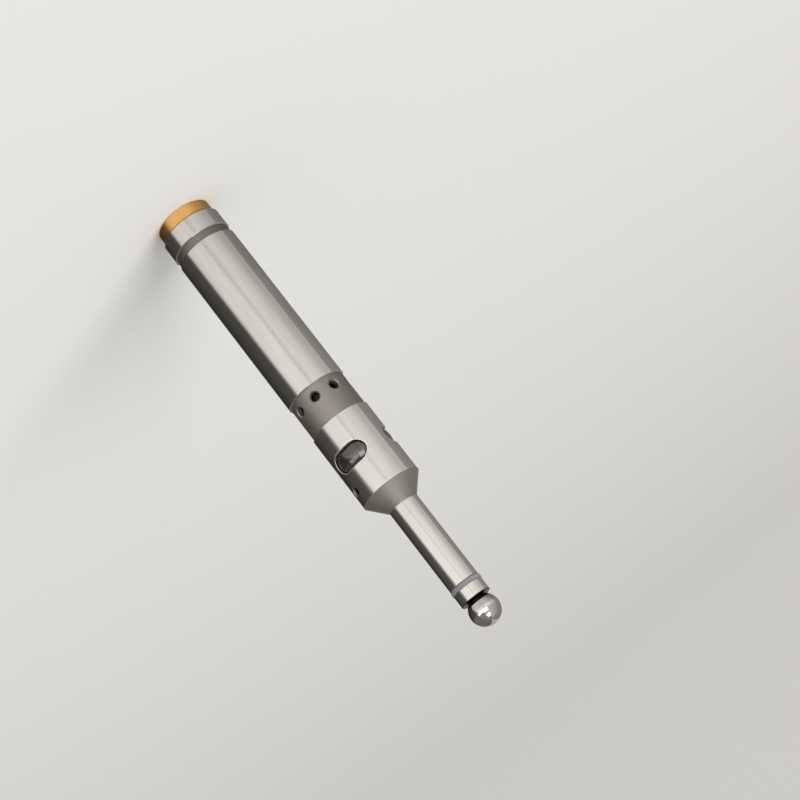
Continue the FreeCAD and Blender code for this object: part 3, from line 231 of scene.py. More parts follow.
cloth = add(tent, "ShaderNodeBackground", {"Color": linear("#fffdf9"), "Strength": glow})
plain = add(tent, "ShaderNodeBackground", {"Color": linear("#fdfcfa"), "Strength": TENT_WHITE})
seen = add(tent, "ShaderNodeBackground", {"Color": linear("#fdfcfa"), "Strength": SEEN_WHITE})
path = add(tent, "ShaderNodeLightPath")
mixed = add(tent, "ShaderNodeMixShader", {
    0: path.outputs["Is Glossy Ray"], 1: plain.outputs[0], 2: cloth.outputs[0]})
shown = add(tent, "ShaderNodeMixShader", {
    0: path.outputs["Is Camera Ray"], 1: mixed.outputs[0], 2: seen.outputs[0]})
add(tent, "ShaderNodeOutputWorld", {"Surface": shown.outputs[0]})
print("openings over eye level:", len(OPENINGS))

# %% [markdown]
# ## Floor and lamp
# The tool stands on pale card that rises behind it in one sweep, so no corner shows. One large
# soft lamp gives the shadow and the shading of what is matt. The tent's panels already stand
# for lamp and card in the metal, so neither is seen by mirror-like rays.

# %% Floor
FLOOR_BEHIND = 3.0     # how far the card runs on the camera's side, in metres
FLOOR_REACH = 1.4      # how far it runs level past the tool
FLOOR_HALF = 4.0       # half its width
SWEEP_RADIUS = 0.9
SWEEP_TOP = 2.6


def sweep_profile(count=40):
    """Distance and height along the card: level, then a quarter circle, then upright."""
    angle = np.linspace(0, math.pi / 2, count)
    bend = FLOOR_REACH + SWEEP_RADIUS * np.sin(angle)
    run = np.concatenate([[-FLOOR_BEHIND], bend, [FLOOR_REACH + SWEEP_RADIUS]])
    rise = np.concatenate([[0.0], SWEEP_RADIUS * (1 - np.cos(angle)), [SWEEP_TOP]])
    return run, rise


run, rise = sweep_profile()
away = np.array([-math.cos(FACING), -math.sin(FACING)])
side = np.array([-away[1], away[0]])
width = np.array([-FLOOR_HALF, FLOOR_HALF])
card = np.zeros((len(run), 2, 3))
card[..., :2] = run[:, None, None] * away + width[:, None] * side
card[..., 2] = rise[:, None]
rows = np.arange(len(run) - 1)[:, None] * 2
card_faces = rows + np.array([[0, 2, 3, 1]])
floor_mesh = bpy.data.meshes.new("floor")
floor_mesh.from_pydata(card.reshape(-1, 3).tolist(), [], card_faces.tolist())
floor = in_scene("floor", floor_mesh)
floor.visible_glossy = False

floor_finish = bpy.data.materials.new("matt_pale_card")
floor_finish.use_nodes = True
principled = floor_finish.node_tree.nodes["Principled BSDF"]
principled.inputs["Base Color"].default_value = linear("#f1f0ee")
principled.inputs["Roughness"].default_value = 0.95
principled.inputs["Specular IOR Level"].default_value = 0.0
floor_mesh.materials.append(floor_finish)
print("card runs level for", FLOOR_REACH, "m and rises to", SWEEP_TOP, "m")

# %% Lamp
LAMP_SIZE = 0.9        # metres along each side
LAMP_POWER = 14.0      # watts
LAMP_PLACE = Vector((-1.05, -0.55, 1.35))
LAMP_AIM = Vector((0, 0, 0.08))

lamp_data = bpy.data.lights.new("soft_lamp", "AREA")
lamp_data.shape = "SQUARE"
lamp_data.size = LAMP_SIZE
lamp_data.energy = LAMP_POWER
lamp = in_scene("soft_lamp", lamp_data)
aim = (LAMP_AIM - LAMP_PLACE).to_track_quat("-Z", "Y")
lamp.matrix_world = Matrix.Translation(LAMP_PLACE) @ aim.to_matrix().to_4x4()
lamp.visible_glossy = False
print("lamp", round((LAMP_AIM - LAMP_PLACE).length, 2), "m away, size", LAMP_SIZE)

# %% [markdown]
# ## Surfaces from numpy
# A turned piece is its outline carried round the axis. The outline is walked with the metal on
# its left, so the outward direction is always to the right of the walk: up the outside, in over
# the top, down the bore. Real edges are broken, and that small round is what catches the light,
# so every corner of an outline becomes a short arc with its own exact directions. Working the
# directions out, and not leaving them to be averaged, keeps long reflections straight.


# %% Outlines with broken edges
def rounded(corners, radius, closed, steps=5):
    """Rows (distance, level, outward, upward) of an outline whose corners are arcs.
    Each arc leaves its corner by radius times the tangent of half the turn, and both sides
    of the corner keep at least half their length."""
    points = np.array(corners, float)
    count = len(points)
    found = []
    for index in range(count):
        before = points[index] - points[index - 1]
        after = points[(index + 1) % count] - points[index]
        if not closed and index == 0:
            before = after
        if not closed and index == count - 1:
            after = before
        reach = min(np.hypot(*before), np.hypot(*after)) * 0.45
        before = before / np.hypot(*before)
        after = after / np.hypot(*after)
        turned_by = math.atan2(before[0] * after[1] - before[1] * after[0], before @ after)
        if abs(turned_by) < 1e-6:
            found.append((*points[index], before[1], -before[0]))
            continue
        tangent = min(radius * math.tan(abs(turned_by) / 2), reach)
        bend = tangent / math.tan(abs(turned_by) / 2) * math.copysign(1, turned_by)
        first = math.atan2(-before[0], before[1])
        angles = first + turned_by * np.linspace(0, 1, steps)
        normal = np.stack([np.cos(angles), np.sin(angles)], 1)
        centre = points[index] - before * tangent - normal[0] * bend
        arc = centre + normal * bend
        found.extend(np.concatenate([arc, normal], 1).tolist())
    return np.array(found)


WELD = 1e-8      # points closer than this, in metres, are one point
AROUND = 240     # corners round a full turn: a multiple of the 3 windows and the 8 sound holes
STEP = 2 * math.pi / AROUND


def carried_round(rows, closed=False, first=0, last=AROUND):
    """Points and outward directions of outline rows carried from one step of the turn to another.
    A point at distance r and angle t lies at (r sin t, -r cos t, level)."""
    if closed:
        rows = np.concatenate([rows, rows[:1]])
    angle = np.arange(first, last + 1) * STEP
    spin = np.stack([np.sin(angle), -np.cos(angle)], 1)
    points = np.zeros((len(rows), len(angle), 3))
    normals = np.zeros_like(points)
    points[..., :2] = rows[:, None, 0:1] * spin
    points[..., 2] = rows[:, 1:2]
    normals[..., :2] = rows[:, None, 2:3] * spin
    normals[..., 2] = rows[:, 3:4]
    return points, normals


# %% [markdown]
# ## From grids to a mesh
# A piece is made of several grids that meet edge to edge. Their common points are found by
# rounding to a hundredth of a micron and become one, so seams and poles close. Each face
# keeps the directions of the grid it came from, so a sharp edge between two grids stays sharp
# and a cylinder stays smooth right up to a hole.


# %% Mesh from grids
def face_corners(grids):
    """Corner numbers of every quad of every grid, counting the points of all grids in a row."""
    quads, start = [], 0
    for grid in grids:
        rows, columns = grid[0].shape[:2]
        index = start + np.arange(rows * columns).reshape(rows, columns)
        ring = (index[:-1, :-1], index[:-1, 1:], index[1:, 1:], index[1:, :-1])
        quads.append(np.stack(ring, -1).reshape(-1, 4))
        start += rows * columns
    return np.concatenate(quads)


def face_finishes(grids):
    """The finish number of every quad: a grid's third entry, one number or one for each row."""
    found = []
    for grid in grids:
        rows, columns = grid[0].shape[:2]
        number = np.reshape(grid[2] if len(grid) > 2 else 0, (-1, 1))
        found.append(np.broadcast_to(number, (rows - 1, columns - 1)).reshape(-1))
    return np.concatenate(found)


def build(name, grids, finishes, body, stands_for):
    """One closed mesh from (points, outward directions) grids, in place, riding on a CAD body."""
    points = np.concatenate([grid[0].reshape(-1, 3) for grid in grids])
    normals = np.concatenate([grid[1].reshape(-1, 3) for grid in grids])
    normals = normals / np.linalg.norm(normals, axis=1, keepdims=True)
    quads = face_corners(grids)
    number = face_finishes(grids)
    first = points[quads[:, 2]] - points[quads[:, 0]]
    second = points[quads[:, 3]] - points[quads[:, 1]]
    wrong = (np.cross(first, second) * normals[quads].sum(1)).sum(1) < 0
    quads[wrong] = quads[wrong][:, ::-1]

    places = np.round(points / WELD).astype(np.int64)
    _, keep, welded = np.unique(places, axis=0, return_index=True, return_inverse=True)
    corners = welded.reshape(-1)[quads]
    repeat = corners == np.roll(corners, -1, axis=1)
    whole = repeat.sum(1) == 0
    pinched = repeat.sum(1) == 1
    left = ~repeat[pinched]
    loops = np.concatenate([corners[whole].reshape(-1), corners[pinched][left]])
    sources = np.concatenate([quads[whole].reshape(-1), quads[pinched][left]])
    fours, threes = int(whole.sum()), int(pinched.sum())
    starts = np.concatenate([np.arange(fours) * 4, fours * 4 + np.arange(threes) * 3])

    mesh = bpy.data.meshes.new(name)
    mesh.vertices.add(len(keep))
    mesh.vertices.foreach_set("co", points[keep].astype(np.float32).reshape(-1))
    mesh.loops.add(len(loops))
    mesh.loops.foreach_set("vertex_index", loops.astype(np.int32))
    mesh.polygons.add(len(starts))
    mesh.polygons.foreach_set("loop_start", starts.astype(np.int32))
    for finish in finishes:
        mesh.materials.append(finish)
    numbers = np.concatenate([number[whole], number[pinched]]).astype(np.int32)
    mesh.polygons.foreach_set("material_index", numbers)
    mesh.update(calc_edges=True)
    mesh.normals_split_custom_set(normals[sources].tolist())
    piece = in_scene(name, mesh)
    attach(piece, body)
    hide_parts(stands_for)
    edge_of_loop = np.zeros(len(loops), np.int32)
    mesh.loops.foreach_get("edge_index", edge_of_loop)
    open_edges = int((np.bincount(edge_of_loop) != 2).sum())
    print(f"{name}: {len(mesh.polygons)} faces, {open_edges} open edges")


# %% [markdown]
# ## Ground steel
# The shank, housing, stem and collar are hardened steel, ground between centres on a cylindrical
# grinder. The wheel leaves marks of a few hundredths of a millimetre that run round the piece.
# They blur a reflection along the axis and hardly at all across it, which is why the bands of
# the tent have crisp long edges. The shader's anisotropy does that blur, with its direction
# laid round Z, and noise squeezed along Z draws the marks themselves.


# %% How a finish is made
def surface(name, colour, metallic, roughness, **sockets):
    """A new material with the constants set on its Principled shader."""
    made = bpy.data.materials.new(name)
    made.use_nodes = True
    shader = made.node_tree.nodes["Principled BSDF"]
    shader.inputs["Base Color"].default_value = linear(colour)
    shader.inputs["Metallic"].default_value = metallic
    shader.inputs["Roughness"].default_value = roughness
    for key, value in sockets.items():
        shader.inputs[key.replace("_", " ")].default_value = value
    return made, made.node_tree, shader


WANDER_LOW, WANDER_HIGH = 0.3, 0.7     # most of a noise's values lie between these


def grain(tree, size_mm, stretch=(1, 1, 1), detail=2.0, roughness=0.5):
    """A value that wanders over the piece in features of about size_mm. A stretch under 1 along
    an axis draws the features out along it."""
    where = add(tree, "ShaderNodeTexCoord").outputs["Object"]
    drawn_out = add(tree, "ShaderNodeMapping", {"Vector": where, "Scale": stretch}).outputs[0]
    return add(tree, "ShaderNodeTexNoise", {
        "Vector": drawn_out, "Scale": 1 / (size_mm * MM), "Detail": detail,
        "Roughness": roughness}).outputs["Fac"]


def tint(tree, shader, value, dark, pale):
    """Colours the finish from dark to pale as the value rises through its usual range."""
    share = add(tree, "ShaderNodeMapRange", {
        "Value": value, "From Min": WANDER_LOW, "From Max": WANDER_HIGH}).outputs[0]
    colour = add(tree, "ShaderNodeMix", {0: share, 6: linear(dark), 7: linear(pale)},
                 data_type="RGBA")
    tree.links.new(colour.outputs[2], shader.inputs["Base Color"])


def polish(tree, shader, value, low, high):
    """Lets the roughness go from low to high as the value rises through its usual range."""
    share = add(tree, "ShaderNodeMapRange", {
        "Value": value, "From Min": WANDER_LOW, "From Max": WANDER_HIGH,
        "To Min": low, "To Max": high})
    tree.links.new(share.outputs[0], shader.inputs["Roughness"])


def emboss(tree, shader, value, depth, distance_mm):
    """Raises and sinks the surface with the value, by a share of a distance in millimetres."""
    bump = add(tree, "ShaderNodeBump", {
        "Strength": depth, "Distance": distance_mm * MM, "Height": value})
    tree.links.new(bump.outputs[0], shader.inputs["Normal"])


def tool_marks(tree, shader, pitch_mm, depth, distance_mm=0.01, along=0.02):
    """Marks that run round Z: grain drawn out round the piece and left short along it."""
    marks = grain(tree, pitch_mm, (along, along, 1.0), detail=3.0, roughness=0.6)
    emboss(tree, shader, marks, depth, distance_mm)
    return marks


def round_axis(tree, shader):
    """Lays the shader's direction round Z; a quarter turn spreads reflections along the axis."""
    tangent = add(tree, "ShaderNodeTangent", direction_type="RADIAL", axis="Z")
    tree.links.new(tangent.outputs[0], shader.inputs["Tangent"])
    shader.inputs["Anisotropic Rotation"].default_value = 0.25


# %% Ground steel
# Hardened tool steel, cylindrical ground: pale, nearly neutral, with clear reflections across.
GRIND_PITCH = 0.25     # real marks are 0.02 mm apart; drawn coarser so that some of them show
ground_steel, tree, shader = surface("ground_steel", "#cdcac6", 1.0, 0.17, Anisotropic=0.7)
round_axis(tree, shader)
marks = tool_marks(tree, shader, GRIND_PITCH, 0.03, distance_mm=0.003, along=0.004)
tint(tree, shader, grain(tree, 1.4, (0.6, 0.6, 0.08), detail=3.0), "#cac7c2", "#d1ceca")
polish(tree, shader, marks, 0.15, 0.20)

# Bearing steel, lapped until it is a mirror, with the faintest haze that softens the tent.
lapped_steel, tree, shader = surface("lapped_ball_steel", "#c9c6c2", 1.0, 0.06)
polish(tree, shader, grain(tree, 0.5, detail=3.0), 0.04, 0.10)

# Broken edges are stoned by hand and soft; their colour, brighter than what is round them, is a
# painted highlight.
rim_painted_highlight, tree, shader = surface("rim_painted_highlight_steel", "#ece9e4", 1.0, 0.42)
rub = grain(tree, 0.4, detail=3.0)
polish(tree, shader, rub, 0.36, 0.48)
tint(tree, shader, rub, "#e4e1dc", "#f2efea")

# %% [markdown]
# ## Turned steel
# The neck, the groove and the cone weren't ground. They keep the lathe's surface, dulled grey by
# heat treatment, so they show hardly any reflection and only shade from side to side. The neck's
# and the groove's greys are darker copies of the cone's: painted shade, deepest in the groove
# between the ground rings. One function makes all three. A fine wave along Z is the feed mark.

# %% Turned steel finishes
TURNING_FEED = 0.18    # millimetres the lathe's tool moves in one turn
POLISH_SPREAD = 0.04


def turned(name, dark, pale, roughness):
    """Steel left as turned and heat treated: grey and dull, with a fine feed mark.
    A band wave repeats every pi / 10 / scale, so the scale follows from the feed."""
    made, tree, shader = surface(name, pale, 1.0, roughness, Anisotropic=0.25)
    round_axis(tree, shader)
    where = add(tree, "ShaderNodeTexCoord").outputs["Object"]
    feed = add(tree, "ShaderNodeTexWave", {
        "Vector": where, "Scale": math.pi / 10 / (TURNING_FEED * MM), "Distortion": 0.3,
        "Detail": 1.0, "Detail Scale": 0.6}, wave_type="BANDS", bands_direction="Z")
    emboss(tree, shader, feed.outputs["Fac"], 0.15, 0.008)
    mottle = grain(tree, 0.9, detail=4.0)
    tint(tree, shader, mottle, dark, pale)
    polish(tree, shader, mottle, roughness - POLISH_SPREAD, roughness + POLISH_SPREAD)
    return made


# The neck's and the groove's darker greys are painted shade on the one turned steel of the cone.
neck_painted_shade_steel = turned("turned_neck_painted_shade_steel", "#94908a", "#9e9a95", 0.60)
groove_painted_shade_steel = turned("turned_groove_painted_shade_steel", "#7b7773", "#86827d", 0.58)
cone_steel = turned("turned_cone_steel", "#aaa69f", "#b6b2ab", 0.56)

# %% [markdown]
# ## Brass, plastic and the inner finishes
# The cap is turned brass with a satin face: its colour is warm because brass swallows blue, and
# tilted faces look deeper than facing ones. The ring before the collar is a turned insulator,
# and the windows are smoked acrylic. What sits inside keeps plain finishes of its own, with the
# mottle that such parts have.

# %% Cap and tip finishes
# Turned brass, satin: a warm, soft sheen, with faint marks that run round.
satin_brass, tree, shader = surface("satin_brass", "#e0ad68", 1.0, 0.34, Anisotropic=0.3)
round_axis(tree, shader)
tool_marks(tree, shader, 0.2, 0.10, distance_mm=0.004, along=0.01)
tint(tree, shader, grain(tree, 2.0, (0.8, 0.8, 0.3), detail=3.0), "#dba65c", "#e5b371")

# Turned insulating plastic: an even grey that takes light without a mirror in it.
insulator, tree, shader = surface("turned_insulator", "#8b8e90", 0.0, 0.42)
tool_marks(tree, shader, 0.15, 0.15, distance_mm=0.006)
tint(tree, shader, grain(tree, 0.4), "#85888a", "#919496")

# Smoked acrylic, moulded: brown black and glossy, so it is dark but for what it mirrors.
smoked_acrylic, tree, shader = surface(
    "smoked_acrylic", "#2c2622", 0.0, 0.10, IOR=1.49, Coat_Weight=1.0, Coat_Roughness=0.12,
    Specular_IOR_Level=0.9)
cloud = grain(tree, 1.5)
tint(tree, shader, cloud, "#221d1a", "#3b312a")
polish(tree, shader, cloud, 0.10, 0.18)

# Steel blackened in oil: nearly black, with a dull metal sheen on its edges. The set screw is made
# of it, and on the collar's end and seat it is painted shade.
blackened_steel_and_painted_shade, tree, shader = surface("blackened_steel_and_painted_shade", "#2b2a2a", 1.0, 0.35)
tool_marks(tree, shader, 0.2, 0.15)
tint(tree, shader, grain(tree, 0.5, detail=3.0), "#232222", "#393737")


# %% Inner finishes
MOTTLE_HEIGHT = 0.02   # millimetres
MOTTLE_DEPTH = 0.1     # the share of it that is drawn


def mottled(name, dark, pale, roughness, size_mm, metallic=0.0):
    """A finish whose colour and height wander together at one grain size."""
    made, tree, shader = surface(name, pale, metallic, roughness)
    cloud = grain(tree, size_mm, detail=4.0)
    emboss(tree, shader, cloud, MOTTLE_DEPTH, MOTTLE_HEIGHT)
    tint(tree, shader, cloud, dark, pale)
    return made


FINISHES = {
    "ground_steel": ground_steel,
    "ball_steel": lapped_steel,
    "collar_steel": ground_steel,
    "cap_brass": satin_brass,
    "screw_steel": blackened_steel_and_painted_shade,
    "insulator": insulator,
    "smoked_lens": smoked_acrylic,
    # metals: drawn brass and wire keep a clear sheen, nickel plating a pale yellow one
    "contact_brass": mottled("drawn_brass", "#c79a4a", "#dcb469", 0.32, 0.6, metallic=1.0),
    "spring_wire": mottled("drawn_spring_wire", "#9a9a98", "#b9b9b6", 0.28, 0.3, metallic=1.0),
    "plated_steel": mottled("nickel_plated_steel", "#b2b0a8", "#c9c7c0", 0.24, 0.7, metallic=1.0),
    "battery_jacket": mottled("tinned_cell_jacket", "#a98a3c", "#c4a452", 0.33, 1.0, metallic=1.0),
    # plastics: milky acetal, glossy polyester tube, fine textured black ABS, soft vinyl
    "liner_plastic": mottled("natural_acetal", "#dcd9cf", "#ebe8df", 0.45, 1.2),
    "sleeve_plastic": mottled("polyester_tube", "#2b2b30", "#37373c", 0.35, 1.5),
    "black_plastic": mottled("moulded_black_abs", "#141414", "#1f1f1f", 0.45, 0.5),
    "wire_sleeve": mottled("vinyl_insulation", "#8a1a14", "#a8261d", 0.4, 0.5),
    # electronics: woven glass board, lacquered bodies and the red resin of the lamps
    "board": mottled("glass_fibre_board", "#1e4a2c", "#2a613b", 0.4, 0.9),
    "resistor_body": mottled("lacquered_ceramic", "#b39a6c", "#c9b184", 0.3, 0.5),
    "capacitor_sleeve": mottled("shrunk_vinyl_sleeve", "#1b2038", "#262c49", 0.3, 0.8),
    "lamp_resin": mottled("tinted_epoxy", "#a81c14", "#c42a1e", 0.15, 0.8),
}
slot_of = {part["node"]: part["material_slot"] for part in frame["record"]["subparts"]}
for name, node in nodes.items():
    node.data.materials.clear()
    node.data.materials.append(FINISHES[slot_of[name]])
print("finishes", len(FINISHES), "on", len(nodes), "nodes")

# %% [markdown]
# ## The shank
# One bar: an end ring, a groove, the long ground land that the collet grips, and a dull neck
# drilled with eight countersunk sound holes for the buzzer behind them. The plain stretches are
# outlines carried round. The neck's wall is a patch for each hole, drawn from the hole's rim out
# to the edges of its own eighth of the wall, so that the rim is exact and nothing has to be cut.

# %% Stations along the tool
EDGE = 0.3             # broken edges of the ground diameters
TIP_EDGE = 0.2         # broken edges of the 10 mm diameters
SHANK_RADIUS = 10.0
STEM_RADIUS = 5.0
RING_LENGTH = 6.5      # lengths along the tool, in millimetres, from the cap towards the ball
GROOVE_LENGTH = 2.5
NECK_LENGTH = 12.0
HOUSING_LENGTH = 26.0
CONE_LENGTH = 5.8
CHAMBER_LENGTH = 21.1
THREAD_LENGTH = 7.0


def levels(name):
    """Lowest and highest level of a CAD node, in millimetres."""
    low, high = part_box(name)
    return low.z / MM, high.z / MM


SHANK_START, JOINT_END = levels("shank_body")
HOUSING_START, STEM_END = levels("front_body")
RING_END = SHANK_START + RING_LENGTH
LAND_START = RING_END + GROOVE_LENGTH
NECK_START = HOUSING_START - NECK_LENGTH
CONE_START = HOUSING_START + HOUSING_LENGTH
STEM_START = CONE_START + CONE_LENGTH
NECK_RADIUS = 9.5
JOINT_RADIUS = 8.9
CHAMBER_RADIUS = 7.5
CHAMBER_START = JOINT_END - CHAMBER_LENGTH
BATTERY_BORE = 5.7
THREAD_BORE = 8.0
THREAD_END = SHANK_START + THREAD_LENGTH
print("shank", round(SHANK_START, 2), "to", round(JOINT_END, 2), "housing", round(HOUSING_START, 2))


# %% Holes through a round wall
def obround(angle, length, width):
    """The point of a slot outline in a given direction from its middle.
    The straight sides answer while they are in reach, and past them the end circles."""
    radius = width / 2
    reach = length / 2 - radius
    across, up = np.cos(angle), np.sin(angle)
    flat = radius / np.maximum(np.abs(up), 1e-9)
    end = reach * np.abs(across) + np.sqrt(np.maximum(radius ** 2 - (reach * up) ** 2, 0))
    far = np.where(np.abs(across) * flat <= reach, flat, end)
    return across * far, up * far


def outward_of(across, up):
    """Directions square to a closed outline that is walked with its inside on the left."""
    step_across = np.roll(across[:-1], -1) - np.roll(across[:-1], 1)
    step_up = np.roll(up[:-1], -1) - np.roll(up[:-1], 1)
    away = np.stack([step_up, -step_across], -1)
    away = away / np.linalg.norm(away, axis=1, keepdims=True)
    return np.concatenate([away, away[:1]])


def stood_up(away, middle):
    """Flat directions of an outline as they lie in space, square to the hole's own axis."""
    sideways = np.array([math.cos(middle), math.sin(middle), 0])
    return away[:, :1] * sideways + away[:, 1:] * np.array([0, 0, 1.0])


def on_wall(across, level, radius, middle):
    """Points of a cylinder straight behind (across, level), seen along the hole's own axis."""
    angle = middle + np.arcsin(across / radius)
    return radial_points(angle, level, radius)


def radial_points(angle, level, radius):
    """Points at an angle and level on a cylinder, and the directions straight out there."""
    outward = np.stack([np.sin(angle), -np.cos(angle), np.zeros_like(angle)], -1)
    points = outward * np.expand_dims(radius, -1)
    points[..., 2] = level
    return points * MM, outward


def frame_round(first, last, low, high, upright):
    """Angles and levels once round a rectangle of the wall, from its lower left corner."""
    along = np.arange(first, last) * STEP
    rise = np.linspace(low, high, upright + 1)[:-1]
    angle = np.concatenate([along, np.full(upright, last * STEP),
                            along[::-1] + STEP, np.full(upright, first * STEP)])
    level = np.concatenate([np.full(len(along), low), rise,
                            np.full(len(along), high), low + high - rise])
    return np.append(angle, angle[0]), np.append(level, level[0])


def holed_wall(span, band, middle, level, shape, radii, rim, upright, rings, finish):
    """Grids of a wall patch with one hole: outer skin, inner skin, rim and sides of the hole.
    span and band bound the patch round and along the tool. shape(angle, growth) gives the hole's
    outline. rim lists (growth, depth, tilt) rows, where tilt is how far, in degrees, the surface
    has turned there from the wall to the hole's side. A point of the patch goes from the hole's
    edge to the frame by a share raised to 1.5, so rows are closest at the edge."""
    outer, inner = radii
    angle, height = frame_round(*span, *band, upright)
    bearing = np.arctan2(height - level, outer * (angle - middle))
    share = np.linspace(0, 1, rings + 1)[:, None] ** 1.5
    grids = []
    for radius, growth, sign in ((outer, rim[0][0], 1), (inner, 0.0, -1)):
        across, up = shape(bearing, growth)
        swing = np.arcsin(across / radius) + middle
        angles = swing + (angle - swing) * share
        levels_here = (level + up) + (height - level - up) * share
        points, outward = radial_points(angles, levels_here, radius)
        grids.append((points, outward * sign, finish[0] if sign > 0 else finish[2]))
    edge_across, edge_up = shape(bearing, 0.0)
    inward = -stood_up(outward_of(edge_across, edge_up), middle)
    points, normals = [], []
    for growth, depth, tilt in rim:
        across, up = shape(bearing, growth)
        where, outward = on_wall(across, level + up, outer - depth, middle)
        tilt = math.radians(tilt)
        points.append(where)
        normals.append(outward * math.cos(tilt) + inward * math.sin(tilt))
    grids.append((np.array(points), np.array(normals), finish[1]))
    depths = (outer - rim[-1][1], inner)
    ends = [on_wall(edge_across, level + edge_up, radius, middle)[0] for radius in depths]
    grids.append((np.array(ends), np.stack([inward, inward]), finish[2]))
    return grids


def round_hole(diameter):
    """A round outline that can grow to its countersink."""
    def shape(angle, growth):
        radius = diameter / 2 + growth
        return radius * np.cos(angle), radius * np.sin(angle)
    return shape


def slot_hole(length, width):
    """A slot outline that can grow all round."""
    def shape(angle, growth):
        return obround(angle, length + 2 * growth, width + 2 * growth)
    return shape


def rounded_rim(width, rows=5):
    """Rows of a rim that turns from the wall to the hole's side in a quarter round."""
    turn = np.linspace(0, math.pi / 2, rows)
    return [(width * (1 - math.sin(t)), width * (1 - math.cos(t)), math.degrees(t)) for t in turn]


def countersunk_rim(width, soft=0.1):
    """Rows of a 45 degree countersink whose outer edge is softened."""
    return [(width + soft, 0.0, 0.0), (width - soft, soft, 45.0), (0.0, width, 45.0)]


# %% Shank skin
SOUND_HOLES = 8
SOUND_HOLE = 3.0
SOUND_SINK = 0.4
SOUND_LEVEL = NECK_START + 3.4     # the holes sit nearer to the land than to the housing
SOUND_TURN = math.radians(-17.3)
SOFT = 0.08            # how far every other corner is rounded
NECK_LOW = NECK_START + 0.6        # the band of the neck's wall that is made of patches
NECK_HIGH = NECK_START + 7.2


def outline_rows(corners, closed=False):
    """Rounded outline rows in metres, from corners in millimetres."""
    rows = rounded(corners, SOFT, closed)
    rows[:, :2] *= MM
    return rows


def dull_under(rows, limit):
    """Finish 1 for the rows that lie inside a radius, as the wheel never reached them,
    and 2, a darker grey that is painted shade, for those of them that are down in the groove or
    inside."""
    dull = (rows[:-1, 0] < limit * MM) & (rows[1:, 0] < limit * MM)
    low = dull & (rows[:-1, 1] < (LAND_START + 1) * MM)
    return dull.astype(int) + low


def hole_sector(number, count, middle):
    """First and last step of one sector of the wall that has its hole near the middle."""
    steps = AROUND // count
    centre = round(middle / (2 * math.pi) * AROUND)
    return centre - steps // 2, centre - steps // 2 + steps


shank_lower = outline_rows([
    (CHAMBER_RADIUS, NECK_LOW), (CHAMBER_RADIUS, CHAMBER_START), (BATTERY_BORE, CHAMBER_START),
    (BATTERY_BORE, THREAD_END), (THREAD_BORE, THREAD_END), (THREAD_BORE, SHANK_START),
    (SHANK_RADIUS - EDGE, SHANK_START), (SHANK_RADIUS, SHANK_START + EDGE),
    (SHANK_RADIUS, RING_END - EDGE), (SHANK_RADIUS - EDGE, RING_END), (NECK_RADIUS, RING_END),
    (NECK_RADIUS, LAND_START), (SHANK_RADIUS - EDGE, LAND_START),
    (SHANK_RADIUS, LAND_START + EDGE), (SHANK_RADIUS, NECK_START - EDGE),
    (SHANK_RADIUS - EDGE, NECK_START), (NECK_RADIUS, NECK_START), (NECK_RADIUS, NECK_LOW)])
shank_upper = outline_rows([
    (NECK_RADIUS, NECK_HIGH), (NECK_RADIUS, HOUSING_START), (JOINT_RADIUS, HOUSING_START),
    (JOINT_RADIUS, JOINT_END), (CHAMBER_RADIUS, JOINT_END), (CHAMBER_RADIUS, NECK_HIGH)])
DULL = SHANK_RADIUS - EDGE - 0.05  # whatever lies inside this radius wasn't ground
grids = [(*carried_round(rows), dull_under(rows, DULL)) for rows in (shank_lower, shank_upper)]
for number in range(SOUND_HOLES):
    middle = SOUND_TURN + number * 2 * math.pi / SOUND_HOLES
    grids += holed_wall(hole_sector(number, SOUND_HOLES, middle), (NECK_LOW, NECK_HIGH), middle,
                        SOUND_LEVEL, round_hole(SOUND_HOLE), (NECK_RADIUS, CHAMBER_RADIUS),
                        countersunk_rim(SOUND_SINK), upright=24, rings=8, finish=(1, 1, 1))
build("shank", grids, [ground_steel, neck_painted_shade_steel, groove_painted_shade_steel], "housing",
      "shank_body")

# %% [markdown]
# ## Lamp housing, cone and stem
# The second bar carries three milled windows, a cone and the slim stem. A window is a slot cut
# straight in, so its outline is flat in the cutter's plane and bends only where it meets the
# round wall: each of its points is carried straight back onto the cylinder. The same patch
# function serves, with a slot for an outline, and once more for the tapped hole beside it.

# %% Housing skin
WINDOWS = 3
WINDOW_LENGTH = 11.9
WINDOW_WIDTH = 6.5
WINDOW_RIM = 0.25
WINDOW_SHARE = 0.479   # where the windows' middles sit in the housing's length
WINDOW_LEVEL = HOUSING_START + HOUSING_LENGTH * WINDOW_SHARE
HOUSING_BORE = 8.5
STEM_BORE = 3.2
ANCHOR_BORE = 6.0
TAIL_BORE = 3.7
SHOULDER = CONE_START - 7.0
ANCHOR_END = SHOULDER + 6.0
TAIL_START = STEM_END - 6.0
SCREW_LEVEL = CONE_START - 4.9
SCREW_TURN = math.radians(36.6)
SCREW_HOLE = 3.0
SCREW_EDGE = 0.15
WINDOW_BAND = 5.6      # how far the windows' patches reach up and down
SCREW_BAND = 2.0
SCREW_ROWS = 16
WINDOW_LOW, WINDOW_HIGH = WINDOW_LEVEL - WINDOW_BAND, WINDOW_LEVEL + WINDOW_BAND
SCREW_LOW, SCREW_HIGH = SCREW_LEVEL - SCREW_BAND, SCREW_LEVEL + SCREW_BAND
JOINT_BORE = JOINT_RADIUS + 0.05
RELIEF = JOINT_END + 0.3

